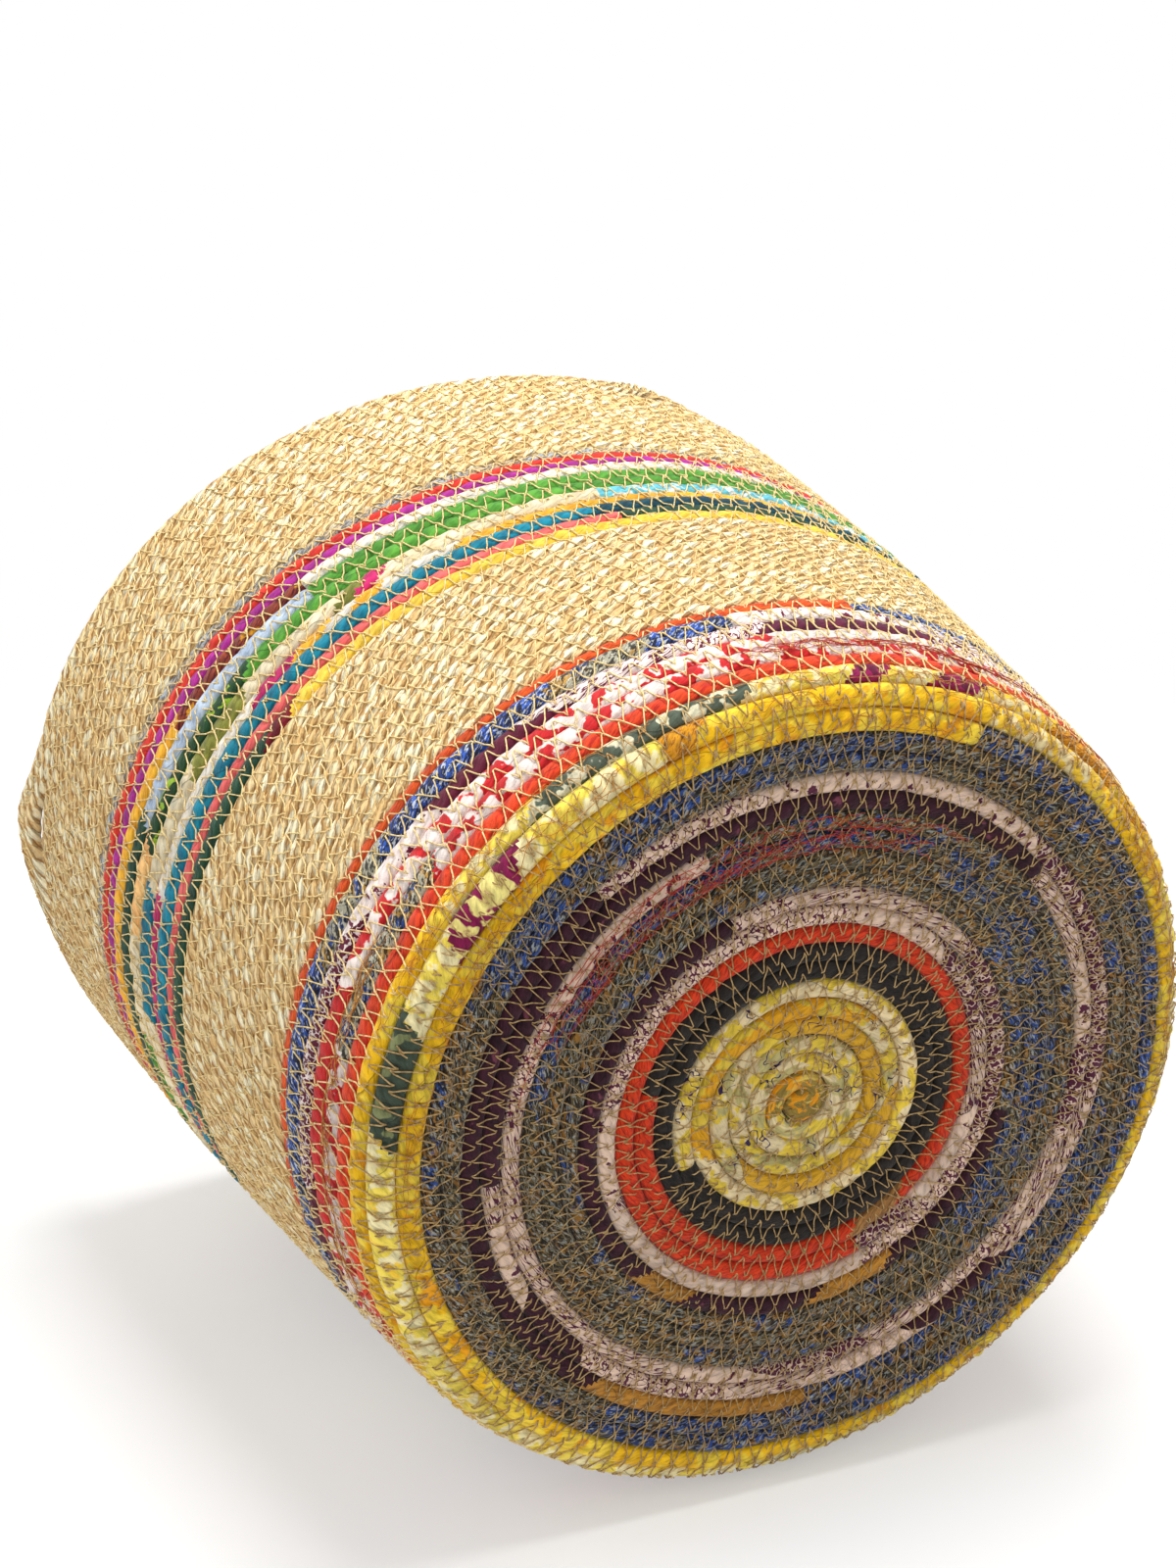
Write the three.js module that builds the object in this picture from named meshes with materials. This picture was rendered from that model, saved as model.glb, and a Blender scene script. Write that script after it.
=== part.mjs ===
// A round plant pot cover, coiled from one long line of cord and sewn row to row.
//
// The cord starts at the centre of the base, winds outwards in a flat spiral, rounds the
// corner and climbs the wall as a helix, each row lying on the row below. Stretches of
// plain grass cord change with stretches wrapped in strips of recycled cloth, and each
// stretch is one mesh. At two places the last two rows leave the wall and arch over a
// finger gap as the handles.
//
// Millimetres, +Z up, the base on z = 0, and the handles to the left and right of -Y.

import * as THREE from "three";

// Driving sizes of the whole cover
const BASE_RADIUS = 131.5; // mean outside radius where the wall begins
const CORNER = 13; // radius of the rounded corner between base and wall
const RIM_RADIUS = 147.2; // mean outside radius at the rim
const RIM_HEIGHT = 243; // nominal height of the rim
const BELLY = 3; // how far the wall swells outwards half way up
const OVAL = 0.05; // how far the soft rim is out of round, as a share of its radius
const OVAL_AZIMUTH = 34; // direction of the oval's long axis, in degrees

// The wall stands a little off the centre of the spiral and leans further off with height
const LEAN_AZIMUTH = 237;
const BASE_SHIFT = 2.5; // how far off the foot of the wall stands
const RIM_SHIFT = 6.3; // how far off the rim is

// Rows sewn by hand climb more on one side: up to DRIFT above the level on the side at
// DRIFT_AZIMUTH, and as much below it opposite, between two lengths up the wall
const DRIFT = 9;
const DRIFT_AZIMUTH = 172;
const DRIFT_START = 140;
const DRIFT_END = 360;
const DRIFT_SKEW = 2.4; // moves the greatest drift up, towards the rim

// The cord, seen across a row
const WALL = 4.8; // thickness of the sewn wall
const GROOVE = 1.7; // depth of the groove between two rows, outside
const FLAT = 2; // width of the flattened back of a row, on the base
const BASE_ROW = 5.85; // width of a row on the base
const GRASS_ROW = 5.5; // width of a row of grass cord on the wall
const JOINT_GAP = 0.3; // gap between the meshes of two neighbouring stretches

// The winding, counted in turns from the centre of the base
const CELLS = 20; // steps in one turn
const START_AZIMUTH = 189; // where every whole turn starts, in degrees
const FIRST_TURN = 1; // the spiral begins round the folded end at the centre
const LAST_TURN = 62.25; // the end of the cord, at the back of the rim
const TAPER = 0.15; // the stretch of cord, before its end, that is cut to a point
const TAPERED_WIDTH = 1.5; // what is left of the row's width at the end

// The handles, named by the turn at their middle, on the lower of their two rows
const HANDLE_TURNS = { right_handle: 60.6, left_handle: 60.95 };
const HANDLE_HALF = 1 / CELLS; // half the length of a handle along the rim, in turns
const HANDLE_LIFT = 25; // height of the finger gap under the middle of a handle
const HANDLE_LEAN = 0.16; // how far in a handle leans, as a share of its lift
const HANDLE_STEPS = 14;
const RIM_TURN = HANDLE_TURNS.right_handle - HANDLE_HALF;

// Surface finishes of the cloth and the grass cord
const CLOTH = { roughness: 0.92, metalness: 0 };
const GRASS = { roughness: 0.85, metalness: 0 };
const GRASS_COLOUR = 0xd2b07a;
const FOLD_COLOUR = 0xb98a2a;

// The stretches from the centre to the rim. Each ends where the next begins.
const STRETCHES = [
  { name: "yellow_print_base", from: FIRST_TURN, row: BASE_ROW, colour: 0xd9c04a },
  { name: "charcoal_base", from: 6, row: BASE_ROW, colour: 0x2e2a27 },
  { name: "red_base", from: 7.9, row: BASE_ROW, colour: 0xb23a1c },
  { name: "rose_print_inner", from: 9.25, row: BASE_ROW, colour: 0xc9b0a4 },
  { name: "plum_and_ochre_base", from: 10.75, row: BASE_ROW, colour: 0x2f1620 },
  { name: "tweed_inner", from: 11.4, row: BASE_ROW, colour: 0x4f5560 },
  { name: "rose_print_middle", from: 14.75, row: BASE_ROW, colour: 0xcdb4aa },
  { name: "plum_middle", from: 15.55, row: BASE_ROW, colour: 0x32161f },
  { name: "rose_print_outer", from: 15.95, row: BASE_ROW, colour: 0xcdb4aa },
  { name: "plum_outer", from: 16.8, row: BASE_ROW, colour: 0x32161f },
  { name: "tweed_outer", from: 17.2, row: BASE_ROW, colour: 0x46505f },
  { name: "golden_corner", from: 19.6, row: 7.5, colour: 0xd9a51c },
  { name: "yellow_print_corner", from: 20.75, row: 9.5, colour: 0xd8c552 },
  { name: "yellow_grey_print", from: 21.5, row: 7, colour: 0xc8b84c },
  { name: "scarlet_row", from: 22.55, row: 7, colour: 0xd13a1c },
  { name: "red_and_white_print", from: 23.5, row: 7.5, colour: 0xd9b5a6 },
  { name: "plum_dot_print", from: 25.45, row: 7, colour: 0xcbb2ac },
  { name: "blue_tweed", from: 26.7, row: 7.5, colour: 0x3a5288 },
  { name: "orange_row", from: 27.65, row: 4.2, colour: 0xcf4f1e },
  { name: "lower_grass_start", from: 28.3, row: GRASS_ROW, finish: GRASS, colour: 0xcfae76 },
  { name: "lower_grass_end", from: 34.1, row: GRASS_ROW, finish: GRASS, colour: 0xcfae76 },
  { name: "lemon_row", from: 39.5, row: 6, colour: 0xf0cf3a },
  { name: "bottle_green_row", from: 39.8, row: 6, colour: 0x1f3a2b },
  { name: "coral_row", from: 40.7, row: 5, colour: 0xe8746c },
  { name: "teal_row", from: 41.5, row: 6.5, colour: 0x13798f },
  { name: "amber_row", from: 42.45, row: 5, colour: 0xf2b52a },
  { name: "sky_print_row", from: 43.3, row: 7, colour: 0xa9d5dc },
  { name: "cream_row", from: 43.7, row: 7, colour: 0xeadfca },
  { name: "green_row", from: 44.45, row: 6.8, colour: 0x4f9434 },
  { name: "pale_blue_row", from: 45.8, row: 6.8, colour: 0xc3cede },
  { name: "white_row", from: 46.4, row: 6, colour: 0xf1ede4 },
  { name: "rust_print_row", from: 46.8, row: 6, colour: 0x9c4a2a },
  { name: "magenta_row", from: 47.4, row: 5, colour: 0x8f2a6b },
  { name: "red_top_row", from: 48.45, row: 5, colour: 0xd5321f },
  { name: "grey_fleck_row", from: 49.4, row: 4.5, colour: 0x8d9188 },
  { name: "upper_grass_start", from: 50.2, row: GRASS_ROW, finish: GRASS, colour: GRASS_COLOUR },
  { name: "upper_grass_end", from: 55.3, row: GRASS_ROW, finish: GRASS, colour: GRASS_COLOUR },
];

const radians = THREE.MathUtils.degToRad;
const degrees = THREE.MathUtils.radToDeg;

// The outside line of the cover in a half plane through its axis: flat, a quarter round,
// then the swelling wall, and straight on past the rim. Takes a length along that line
// and how far the wall is off the centre there, as a share of the shift of base and rim,
// and gives the radius, the height and the outward normal.
function meridian(length, off = 0) {
  const flat = BASE_RADIUS - CORNER + BASE_SHIFT * off;
  const arc = (CORNER * Math.PI) / 2;
  if (length <= flat) return { r: length, z: 0, nr: 0, nz: -1 };
  if (length <= flat + arc) {
    const a = (length - flat) / CORNER;
    return {
      r: flat + CORNER * Math.sin(a),
      z: CORNER * (1 - Math.cos(a)),
      nr: Math.sin(a),
      nz: -Math.cos(a),
    };
  }
  const spread = RIM_RADIUS - BASE_RADIUS + (RIM_SHIFT - BASE_SHIFT) * off;
  const rise = RIM_HEIGHT - CORNER;
  const wall = Math.hypot(spread, rise);
  const share = (length - flat - arc) / wall;
  const bulge = BELLY * Math.sin(Math.PI * Math.min(share, 1));
  return {
    r: flat + CORNER + spread * share + bulge,
    z: CORNER + rise * share,
    nr: rise / wall,
    nz: -spread / wall,
  };
}

// How far a row lies above its level place, at a length along the meridian.
function drift(length, azimuth) {
  const share = (length - DRIFT_START) / (DRIFT_END - DRIFT_START);
  const eased = THREE.MathUtils.clamp(share, 0, 1) ** DRIFT_SKEW;
  return DRIFT * Math.sin(Math.PI * eased) * Math.cos(radians(azimuth - DRIFT_AZIMUTH));
}

// A point of the cover: a length along the meridian, a depth under the outside, and an
// azimuth. The oval is nothing at the base and grows evenly up to the rim.
function place(length, depth, azimuth) {
  const off = Math.cos(radians(azimuth - LEAN_AZIMUTH));
  const m = meridian(length + drift(length, azimuth), off);
  const z = m.z - depth * m.nz;
  const oval = 1 + OVAL * (z / RIM_HEIGHT) * Math.cos(2 * radians(azimuth - OVAL_AZIMUTH));
  const r = (m.r - depth * m.nr) * oval;
  return new THREE.Vector3(r * Math.cos(radians(azimuth)), r * Math.sin(radians(azimuth)), z);
}

const azimuthOf = (turn) => START_AZIMUTH - 360 * turn;

// Width of the row in a cell, narrowing over the tapered end of the cord.
function rowWidth(cell) {
  const turn = cell / CELLS;
  const stretch = STRETCHES.findLast((s) => cell >= Math.round(s.from * CELLS));
  const row = stretch ? stretch.row : BASE_ROW;
  const cut = THREE.MathUtils.clamp((turn - LAST_TURN) / TAPER + 1, 0, 1);
  return THREE.MathUtils.lerp(row, TAPERED_WIDTH, cut);
}

// The seams, as lengths along the meridian: entry c is the lower edge of the row where
// cell c starts, and entry c + CELLS its upper edge, which is the lower edge of the row
// one turn later. Where two stretches meet, the seam takes the mean of their widths.
function windSeams() {
  const seams = [];
  for (let c = 0; c < CELLS; c++) seams.push((BASE_ROW * c) / CELLS);
  for (let c = 0; c <= Math.round(LAST_TURN * CELLS); c++) {
    seams.push(seams[c] + (rowWidth(c - 1) + rowWidth(c)) / 2);
  }
  return seams;
}
const SEAMS = windSeams();

// The seam under the row at any turn, on the straight line between two steps.
function seamAt(turn) {
  const step = Math.floor(turn * CELLS);
  const next = Math.min(step + 1, SEAMS.length - 1);
  return THREE.MathUtils.lerp(SEAMS[step], SEAMS[next], turn * CELLS - step);
}

// A list of triangle corners as a geometry.
function geometryOf(corners) {
  return new THREE.BufferGeometry().setFromPoints(corners);
}

// Adds a four-sided face whose corners go round it.
function addFace(corners, a, b, c, d) {
  corners.push(a, b, c, a, c, d);
}

// Adds the cut end of a cord: a fan from an inner corner over the outside points.
function addEnd(corners, outside, inside, facesAhead) {
  const ring = [inside[0], ...outside, inside[1]];
  for (let i = 1; i < ring.length - 1; i++) {
    if (facesAhead) corners.push(ring[0], ring[i], ring[i + 1]);
    else corners.push(ring[0], ring[i + 1], ring[i]);
  }
}

// One stretch of the coil as a solid, from the list of its cells. Cell c is the cord from
// turn c / CELLS to turn (c + 1) / CELLS. Its neighbours along the cord are c - 1 and
// c + 1, and across the seams c - CELLS and c + CELLS. A side gets a face only where its
// neighbour is not in the stretch, and that face is drawn in by half the joint gap.
function coilGeometry(cells, flatBacked) {
  const members = new Set(cells);
  const has = (c) => (members.has(c) ? 1 : 0);
  const inset = JOINT_GAP / 2;
  const backs = flatBacked ? [-FLAT / 2, FLAT / 2] : [0];

  // The point moved some way along the cord.
  function point(length, depth, c, shift) {
    const radius = Math.max(BASE_ROW, meridian(length).r);
    return place(length, depth, azimuthOf(c / CELLS) - degrees(shift / radius));
  }

  // A point on the seam where cell c starts, drawn in from the missing cells round it.
  function seam(c, depth) {
    const above = has(c) + has(c - 1);
    const below = has(c - CELLS) + has(c - CELLS - 1);
    const ahead = has(c) + has(c - CELLS);
    const behind = has(c - 1) + has(c - CELLS - 1);
    const length = SEAMS[c] + inset * Math.sign(above - below);
    return point(length, depth, c, inset * Math.sign(ahead - behind));
  }

  // The outside of the row where cell c starts, from seam to seam.
  function outsideAt(c) {
    const middle = (SEAMS[c] + SEAMS[c + CELLS]) / 2;
    const shift = inset * Math.sign(has(c) - has(c - 1));
    const crown = backs.map((offset) => point(middle + offset, 0, c, shift));
    return [seam(c, GROOVE), ...crown, seam(c + CELLS, GROOVE)];
  }
  const insideAt = (c) => [seam(c, WALL), seam(c + CELLS, WALL)];

  const corners = [];
  for (const c of cells) {
    const near = outsideAt(c);
    const far = outsideAt(c + 1);
    const nearIn = insideAt(c);
    const farIn = insideAt(c + 1);
    const top = near.length - 1;
    for (let i = 0; i < top; i++) {
      addFace(corners, near[i], near[i + 1], far[i + 1], far[i]);
    }
    addFace(corners, nearIn[1], nearIn[0], farIn[0], farIn[1]);
    if (!has(c - CELLS)) addFace(corners, nearIn[0], near[0], far[0], farIn[0]);
    if (!has(c + CELLS)) addFace(corners, near[top], nearIn[1], farIn[1], far[top]);
    if (!has(c - 1)) addEnd(corners, near, nearIn, false);
    if (!has(c + 1)) addEnd(corners, far, farIn, true);
  }
  return geometryOf(corners);
}

// The cells between pairs of turns.
function cellsBetween(...spans) {
  const cells = [];
  for (const [from, to] of spans) {
    const end = Math.round(to * CELLS);
    for (let c = Math.round(from * CELLS); c < end; c++) cells.push(c);
  }
  return cells;
}

// The folded end of the cord at the centre: the snail-shaped disc inside the first turn
// of the spiral, flat underneath.
function centreFoldGeometry() {
  const inset = JOINT_GAP / 2;
  const outline = [];
  for (let c = FIRST_TURN * CELLS; c <= (FIRST_TURN + 1) * CELLS; c++) {
    const radius = SEAMS[c] - inset;
    const p = place(radius, 0, azimuthOf(c / CELLS) + degrees(inset / radius));
    outline.push(new THREE.Vector2(p.x, p.y));
  }
  const shape = new THREE.Shape(outline);
  return new THREE.ExtrudeGeometry(shape, { depth: WALL, bevelEnabled: false });
}

// A handle: the last two rows lifted off the wall in a bell-shaped arch that leans in a
// little, as one solid with a section of seven corners.
function handleGeometry(middleTurn) {
  const inset = JOINT_GAP / 2;
  const half = HANDLE_HALF - inset / (2 * Math.PI * RIM_RADIUS);
  const sections = [];
  for (let i = 0; i <= HANDLE_STEPS; i++) {
    const share = (2 * i) / HANDLE_STEPS - 1;
    const turn = middleTurn + share * half;
    const lift = (HANDLE_LIFT * (1 + Math.cos(Math.PI * share))) / 2;
    const low = seamAt(turn) + inset + lift;
    const middle = seamAt(turn + 1) + lift;
    const high = seamAt(turn + 2) + lift;
    const lean = HANDLE_LEAN * lift;
    const at = (length, depth) => place(length, depth + lean, azimuthOf(turn));
    sections.push([
      at(low, WALL),
      at(low, GROOVE),
      at((low + middle) / 2, 0),
      at(middle, GROOVE),
      at((middle + high) / 2, 0),
      at(high, GROOVE),
      at(high, WALL),
    ]);
  }
  const corners = [];
  const sides = sections[0].length;
  for (let i = 0; i < HANDLE_STEPS; i++) {
    const near = sections[i];
    const far = sections[i + 1];
    for (let j = 0; j < sides; j++) {
      const k = (j + 1) % sides;
      addFace(corners, near[j], near[k], far[k], far[j]);
    }
  }
  for (const [section, facesAhead] of [
    [sections[0], false],
    [sections[HANDLE_STEPS], true],
  ]) {
    addEnd(corners, section.slice(1, -1), [section[0], section[sides - 1]], facesAhead);
  }
  return geometryOf(corners);
}

const cover = new THREE.Group();

function addMesh(name, geometry, colour, finish = CLOTH) {
  const material = new THREE.MeshStandardMaterial({ color: colour, ...finish });
  const mesh = new THREE.Mesh(geometry, material);
  mesh.name = name;
  cover.add(mesh);
}

// The base rows have flattened backs, so that the cover stands flat.
function addStretches() {
  STRETCHES.forEach(({ name, from, row, colour, finish }, i) => {
    const to = i + 1 < STRETCHES.length ? STRETCHES[i + 1].from : RIM_TURN;
    const flatBacked = seamAt(from) + row < BASE_RADIUS - CORNER + row;
    addMesh(name, coilGeometry(cellsBetween([from, to]), flatBacked), colour, finish);
  });
}

// The two handles, and the last two rows in front of and behind them.
function addRim() {
  const { right_handle: right, left_handle: left } = HANDLE_TURNS;
  for (const [name, turn] of Object.entries(HANDLE_TURNS)) {
    addMesh(name, handleGeometry(turn), GRASS_COLOUR, GRASS);
  }
  const front = [right + HANDLE_HALF, left - HANDLE_HALF];
  const back = [left + HANDLE_HALF, right + 1 - HANDLE_HALF];
  const frontCells = cellsBetween(front, [front[0] + 1, front[1] + 1]);
  const backCells = cellsBetween(back, [back[0] + 1, LAST_TURN]);
  addMesh("front_rim", coilGeometry(frontCells, false), GRASS_COLOUR, GRASS);
  addMesh("back_rim", coilGeometry(backCells, false), GRASS_COLOUR, GRASS);
}

addMesh("centre_fold", centreFoldGeometry(), FOLD_COLOUR);
addStretches();
addRim();

export default cover;
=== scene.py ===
"""A round plant pot cover, coiled from one cord and sewn row to row, lying as in its photograph."""

import logging
from dataclasses import dataclass, field
from enum import Enum

import bpy
import numpy as np
from mathutils import Matrix, Vector


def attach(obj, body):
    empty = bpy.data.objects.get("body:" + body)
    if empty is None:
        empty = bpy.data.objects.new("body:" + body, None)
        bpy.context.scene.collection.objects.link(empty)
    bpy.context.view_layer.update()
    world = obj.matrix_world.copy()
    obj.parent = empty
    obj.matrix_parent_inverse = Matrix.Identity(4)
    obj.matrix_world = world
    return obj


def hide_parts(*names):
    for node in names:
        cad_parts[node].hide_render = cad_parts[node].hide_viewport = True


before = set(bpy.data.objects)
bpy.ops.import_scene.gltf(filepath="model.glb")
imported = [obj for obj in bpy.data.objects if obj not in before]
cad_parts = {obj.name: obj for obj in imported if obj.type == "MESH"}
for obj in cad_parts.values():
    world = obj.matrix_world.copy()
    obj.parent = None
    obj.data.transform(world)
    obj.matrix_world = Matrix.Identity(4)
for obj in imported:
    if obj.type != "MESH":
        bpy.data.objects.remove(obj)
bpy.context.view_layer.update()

log = logging.getLogger("pot_cover")
MM = 0.001
START_AZIMUTH = 189.0
GIRTH = 1.8  # length once round the cord, in centimetres, as its coordinates count it
CM = 100  # centimetres in a metre
LAY = 30.0  # slope of the plies on bare cord, in degrees
RED_YARN_ROWS = ((13, 330, 250), (14, 335, 235), (23, 345, 300))  # row, first and last azimuth
GOLD_YARN_SPANS = [(19.6, 19.95), (20.4, 20.8), (21.5, 21.9), (23.85, 23.98)]  # first and last turns
PALE_YARN_SPANS = [(11.5, 14.7), (17.25, 19.6)]
STITCH_ZONES = {  # first and last turns of the seams
    "inner_base": (1.0, 14.0),
    "outer_base": (14.0, 22.0),
    "lower_bands": (22.0, 29.0),
    "lower_grass_1": (29.0, 35.0),
    "lower_grass_2": (35.0, 41.0),
    "upper_bands": (41.0, 50.0),
    "upper_grass_1": (50.0, 56.0),
    "upper_grass_2": (56.0, 62.25),
}

Colour = tuple[float, float, float]
Socket = bpy.types.NodeSocket


def linear(red: int, green: int, blue: int) -> Colour:
    """Turns a colour written as screen values of 0 to 255 into the linear values of a shader.

    Args:
        red: Screen value of the red.
        green: Screen value of the green.
        blue: Screen value of the blue.

    Returns:
        The three linear values, each value to the power 2.4 above the short straight foot.
    """
    share = np.array([red, green, blue]) / 255.0
    curved = ((share + 0.055) / 1.055) ** 2.4
    return tuple(float(v) for v in np.where(share <= 0.04045, share / 12.92, curved))


def turn_at(row: int, azimuth: float) -> float:
    """Gives the turn of the winding where a row passes an azimuth.

    Args:
        row: Number of whole turns before the row starts, at the azimuth of 189 degrees.
        azimuth: The azimuth, in degrees.

    Returns:
        The row plus the share of a turn from the start azimuth, backwards, to this one.
    """
    return row + ((START_AZIMUTH - azimuth) / 360.0) % 1.0


@dataclass(frozen=True)
class CoverShape:
    """The outside surface of the whole cover, in metres, as a function of length, depth and azimuth."""

    base_radius: float = 131.5 * MM
    corner: float = 13 * MM
    rim_radius: float = 147.2 * MM
    rim_height: float = 243 * MM
    belly: float = 3 * MM
    oval: float = 0.05
    oval_azimuth: float = 34.0
    lean_azimuth: float = 237.0
    base_shift: float = 2.5 * MM
    rim_shift: float = 6.3 * MM
    drift: float = 9 * MM
    drift_azimuth: float = 172.0
    drift_start: float = 140 * MM
    drift_end: float = 360 * MM
    drift_skew: float = 2.4

    def meridian(self, length: np.ndarray, off: float | np.ndarray = 0.0) -> tuple[np.ndarray, ...]:
        """Follows the outside line of the cover: flat, a quarter round, then the swelling wall.

        Args:
            length: Lengths along the line, from the centre of the base.
            off: The part of the lean of base and rim that counts on this side, from -1 to 1.

        Returns:
            The radius, the height, and the two parts of the outward normal. On the wall the
            radius grows evenly and swells by a half sine, and the line goes straight on above.
        """
        flat = self.base_radius - self.corner + self.base_shift * off
        arc = self.corner * np.pi / 2
        spread = self.rim_radius - self.base_radius + (self.rim_shift - self.base_shift) * off
        rise = self.rim_height - self.corner
        wall = np.hypot(spread, rise)
        angle = np.clip((length - flat) / self.corner, 0, np.pi / 2)
        share = (length - flat - arc) / wall
        bulge = self.belly * np.sin(np.pi * np.clip(share, 0, 1))
        on_wall = share > 0
        on_flat = length <= flat
        edge = flat + self.corner
        radius = np.where(on_wall, edge + spread * share + bulge, flat + self.corner * np.sin(angle))
        height = np.where(on_wall, self.corner + rise * share, self.corner * (1 - np.cos(angle)))
        normal_r = np.where(on_wall, rise / wall, np.sin(angle))
        normal_z = np.where(on_wall, -spread / wall, -np.cos(angle))
        return (
            np.where(on_flat, length, radius),
            np.where(on_flat, 0, height),
            np.where(on_flat, 0, normal_r),
            np.where(on_flat, -1, normal_z),
        )

    def point(self, length: np.ndarray, depth: np.ndarray, azimuth: np.ndarray) -> np.ndarray:
        """Places points on the cover.

        Args:
            length: Lengths along the meridian.
            depth: Depths under the outside surface.
            azimuth: Azimuths in degrees.

        Returns:
            The points. The length first drifts up or down by a sine along the wall times the
            cosine of the azimuth. The wall stands off the centre by the cosine of the angle to
            the lean, and the radius is stretched into an oval that grows with the height.
        """
        turned = np.radians(azimuth)
        share = np.clip((length - self.drift_start) / (self.drift_end - self.drift_start), 0, 1)
        climb = self.drift * np.sin(np.pi * share**self.drift_skew)
        length = length + climb * np.cos(turned - np.radians(self.drift_azimuth))
        off = np.cos(turned - np.radians(self.lean_azimuth))
        radius, height, normal_r, normal_z = self.meridian(length, off)
        height = height - depth * normal_z
        stretch = np.cos(2 * (turned - np.radians(self.oval_azimuth)))
        oval = 1 + self.oval * (height / self.rim_height) * stretch
        radius = (radius - depth * normal_r) * oval
        return np.stack([radius * np.cos(turned), radius * np.sin(turned), height], axis=-1)


class Pattern(Enum):
    """How the colours of a cloth strip lie on it."""

    PLAIN = "plain"
    BLOBS = "blobs"
    STREAKS = "streaks"
    ROSE = "rose"
    TWEED = "tweed"


class Graph:
    """A node material being put together, with short ways to add the nodes used here."""

    def __init__(self, name: str) -> None:
        """Makes an empty material with the given name."""
        self.material = bpy.data.materials.new(name)
        self.material.use_nodes = True
        self.tree = self.material.node_tree
        self.tree.nodes.clear()
        self.column = 0

    def node(self, kind: str, inputs: dict | None = None, **settings: object) -> bpy.types.Node:
        """Adds a node.

        Args:
            kind: The node's type name without its ShaderNode prefix.
            inputs: Values or output sockets by input name or number.
            settings: Properties of the node to set.

        Returns:
            The new node.
        """
        made = self.tree.nodes.new("ShaderNode" + kind)
        made.location = (self.column * 40, (self.column % 5) * -180)
        self.column += 1
        for key, value in settings.items():
            setattr(made, key, value)
        for key, value in (inputs or {}).items():
            self.feed(made.inputs[key], value)
        return made

    def feed(self, socket: Socket, value: object) -> None:
        """Links an output socket to an input, or sets the input's value."""
        if isinstance(value, Socket):
            self.tree.links.new(value, socket)
        elif isinstance(value, tuple) and len(value) == 3 and socket.type == "RGBA":
            socket.default_value = (*value, 1.0)
        else:
            socket.default_value = value

    def maths(self, operation: str, *values: object) -> Socket:
        """Adds a Math node.

        Args:
            operation: The node's operation.
            values: Its inputs in order.

        Returns:
            Its output socket.
        """
        return self.node("Math", dict(enumerate(values)), operation=operation).outputs[0]

    def noise(self, vector: object, scale: float, detail: float = 3.0, rough: float = 0.55) -> Socket:
        """Adds a Noise Texture.

        Args:
            vector: Socket of the coordinates.
            scale: Scale of the noise.
            detail: Its number of octaves.
            rough: How strong the fine octaves are.

        Returns:
            The socket of its grey value.
        """
        inputs = {"Vector": vector, "Scale": scale, "Detail": detail, "Roughness": rough}
        return self.node("TexNoise", inputs).outputs["Fac"]

    def steps(self, value: object, low: float, high: float) -> Socket:
        """Adds a smooth step of a value from 0 at one level to 1 at another.

        Args:
            value: Socket of the value.
            low: Level that gives 0.
            high: Level that gives 1.

        Returns:
            The socket of the step.
        """
        inputs = {"Value": value, "From Min": low, "From Max": high}
        return self.node("MapRange", inputs, interpolation_type="SMOOTHSTEP").outputs["Result"]

    def mix(self, share: object, first: object, second: object, blend: str = "MIX") -> Socket:
        """Adds a mix of two colours.

        Args:
            share: How much of the second colour.
            first: The first colour.
            second: The second colour.
            blend: The blending mode.

        Returns:
            The socket of the mixed colour.
        """
        inputs = {"Factor": share, 6: first, 7: second}
        return self.node("Mix", inputs, data_type="RGBA", blend_type=blend).outputs[2]

    def tint(
        self, colour: object, over: Colour, most: float, value: object, low: float, high: float
    ) -> Socket:
        """Lays a second colour over the first where a value is high.

        Args:
            colour: The first colour.
            over: The second colour.
            most: How much of it there is at most.
            value: Socket of the value.
            low: Level that it starts at.
            high: Level that it is full at.

        Returns:
            The socket of the mixed colour.
        """
        share = self.maths("MULTIPLY", self.steps(value, low, high), most)
        return self.mix(share, colour, over)

    def off_middle(self, value: object) -> Socket:
        """Gives how far a value is off one half: a noise is near it along thin winding lines."""
        return self.maths("ABSOLUTE", self.maths("SUBTRACT", value, 0.5))

    def chance(self, **inputs: object) -> Socket:
        """Gives a random value for a number W, or for a pair of numbers Vector."""
        dimensions = "1D" if "W" in inputs else "2D"
        return self.node("TexWhiteNoise", inputs, noise_dimensions=dimensions).outputs["Value"]

    def mapped(self, vector: object, scale: Colour, turn: float = 0.0, shift: Colour = (0, 0, 0)) -> Socket:
        """Turns, shifts and scales coordinates.

        Args:
            vector: Socket of the coordinates.
            scale: Scale along the three axes, applied last.
            turn: Angle round Z in degrees, applied first.
            shift: What is added to the turned coordinates.

        Returns:
            The socket of the new coordinates.
        """
        inputs = {"Vector": vector, "Rotation": (0, 0, np.radians(turn)), "Location": shift}
        turned = self.node("Mapping", inputs).outputs[0]
        return self.node("Mapping", {"Vector": turned, "Scale": scale}).outputs[0]

    def bump(self, height: object, distance: float, strength: float, under: object = None) -> Socket:
        """Adds a bump.

        Args:
            height: Socket of the height, from 0 to 1.
            distance: Height of a full step, in metres.
            strength: Strength of the bump.
            under: Socket of the normal of a coarser bump under this one.

        Returns:
            The socket of the normal.
        """
        inputs = {"Height": height, "Distance": distance, "Strength": strength}
        if under is not None:
            inputs["Normal"] = under
        return self.node("Bump", inputs).outputs[0]

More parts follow.
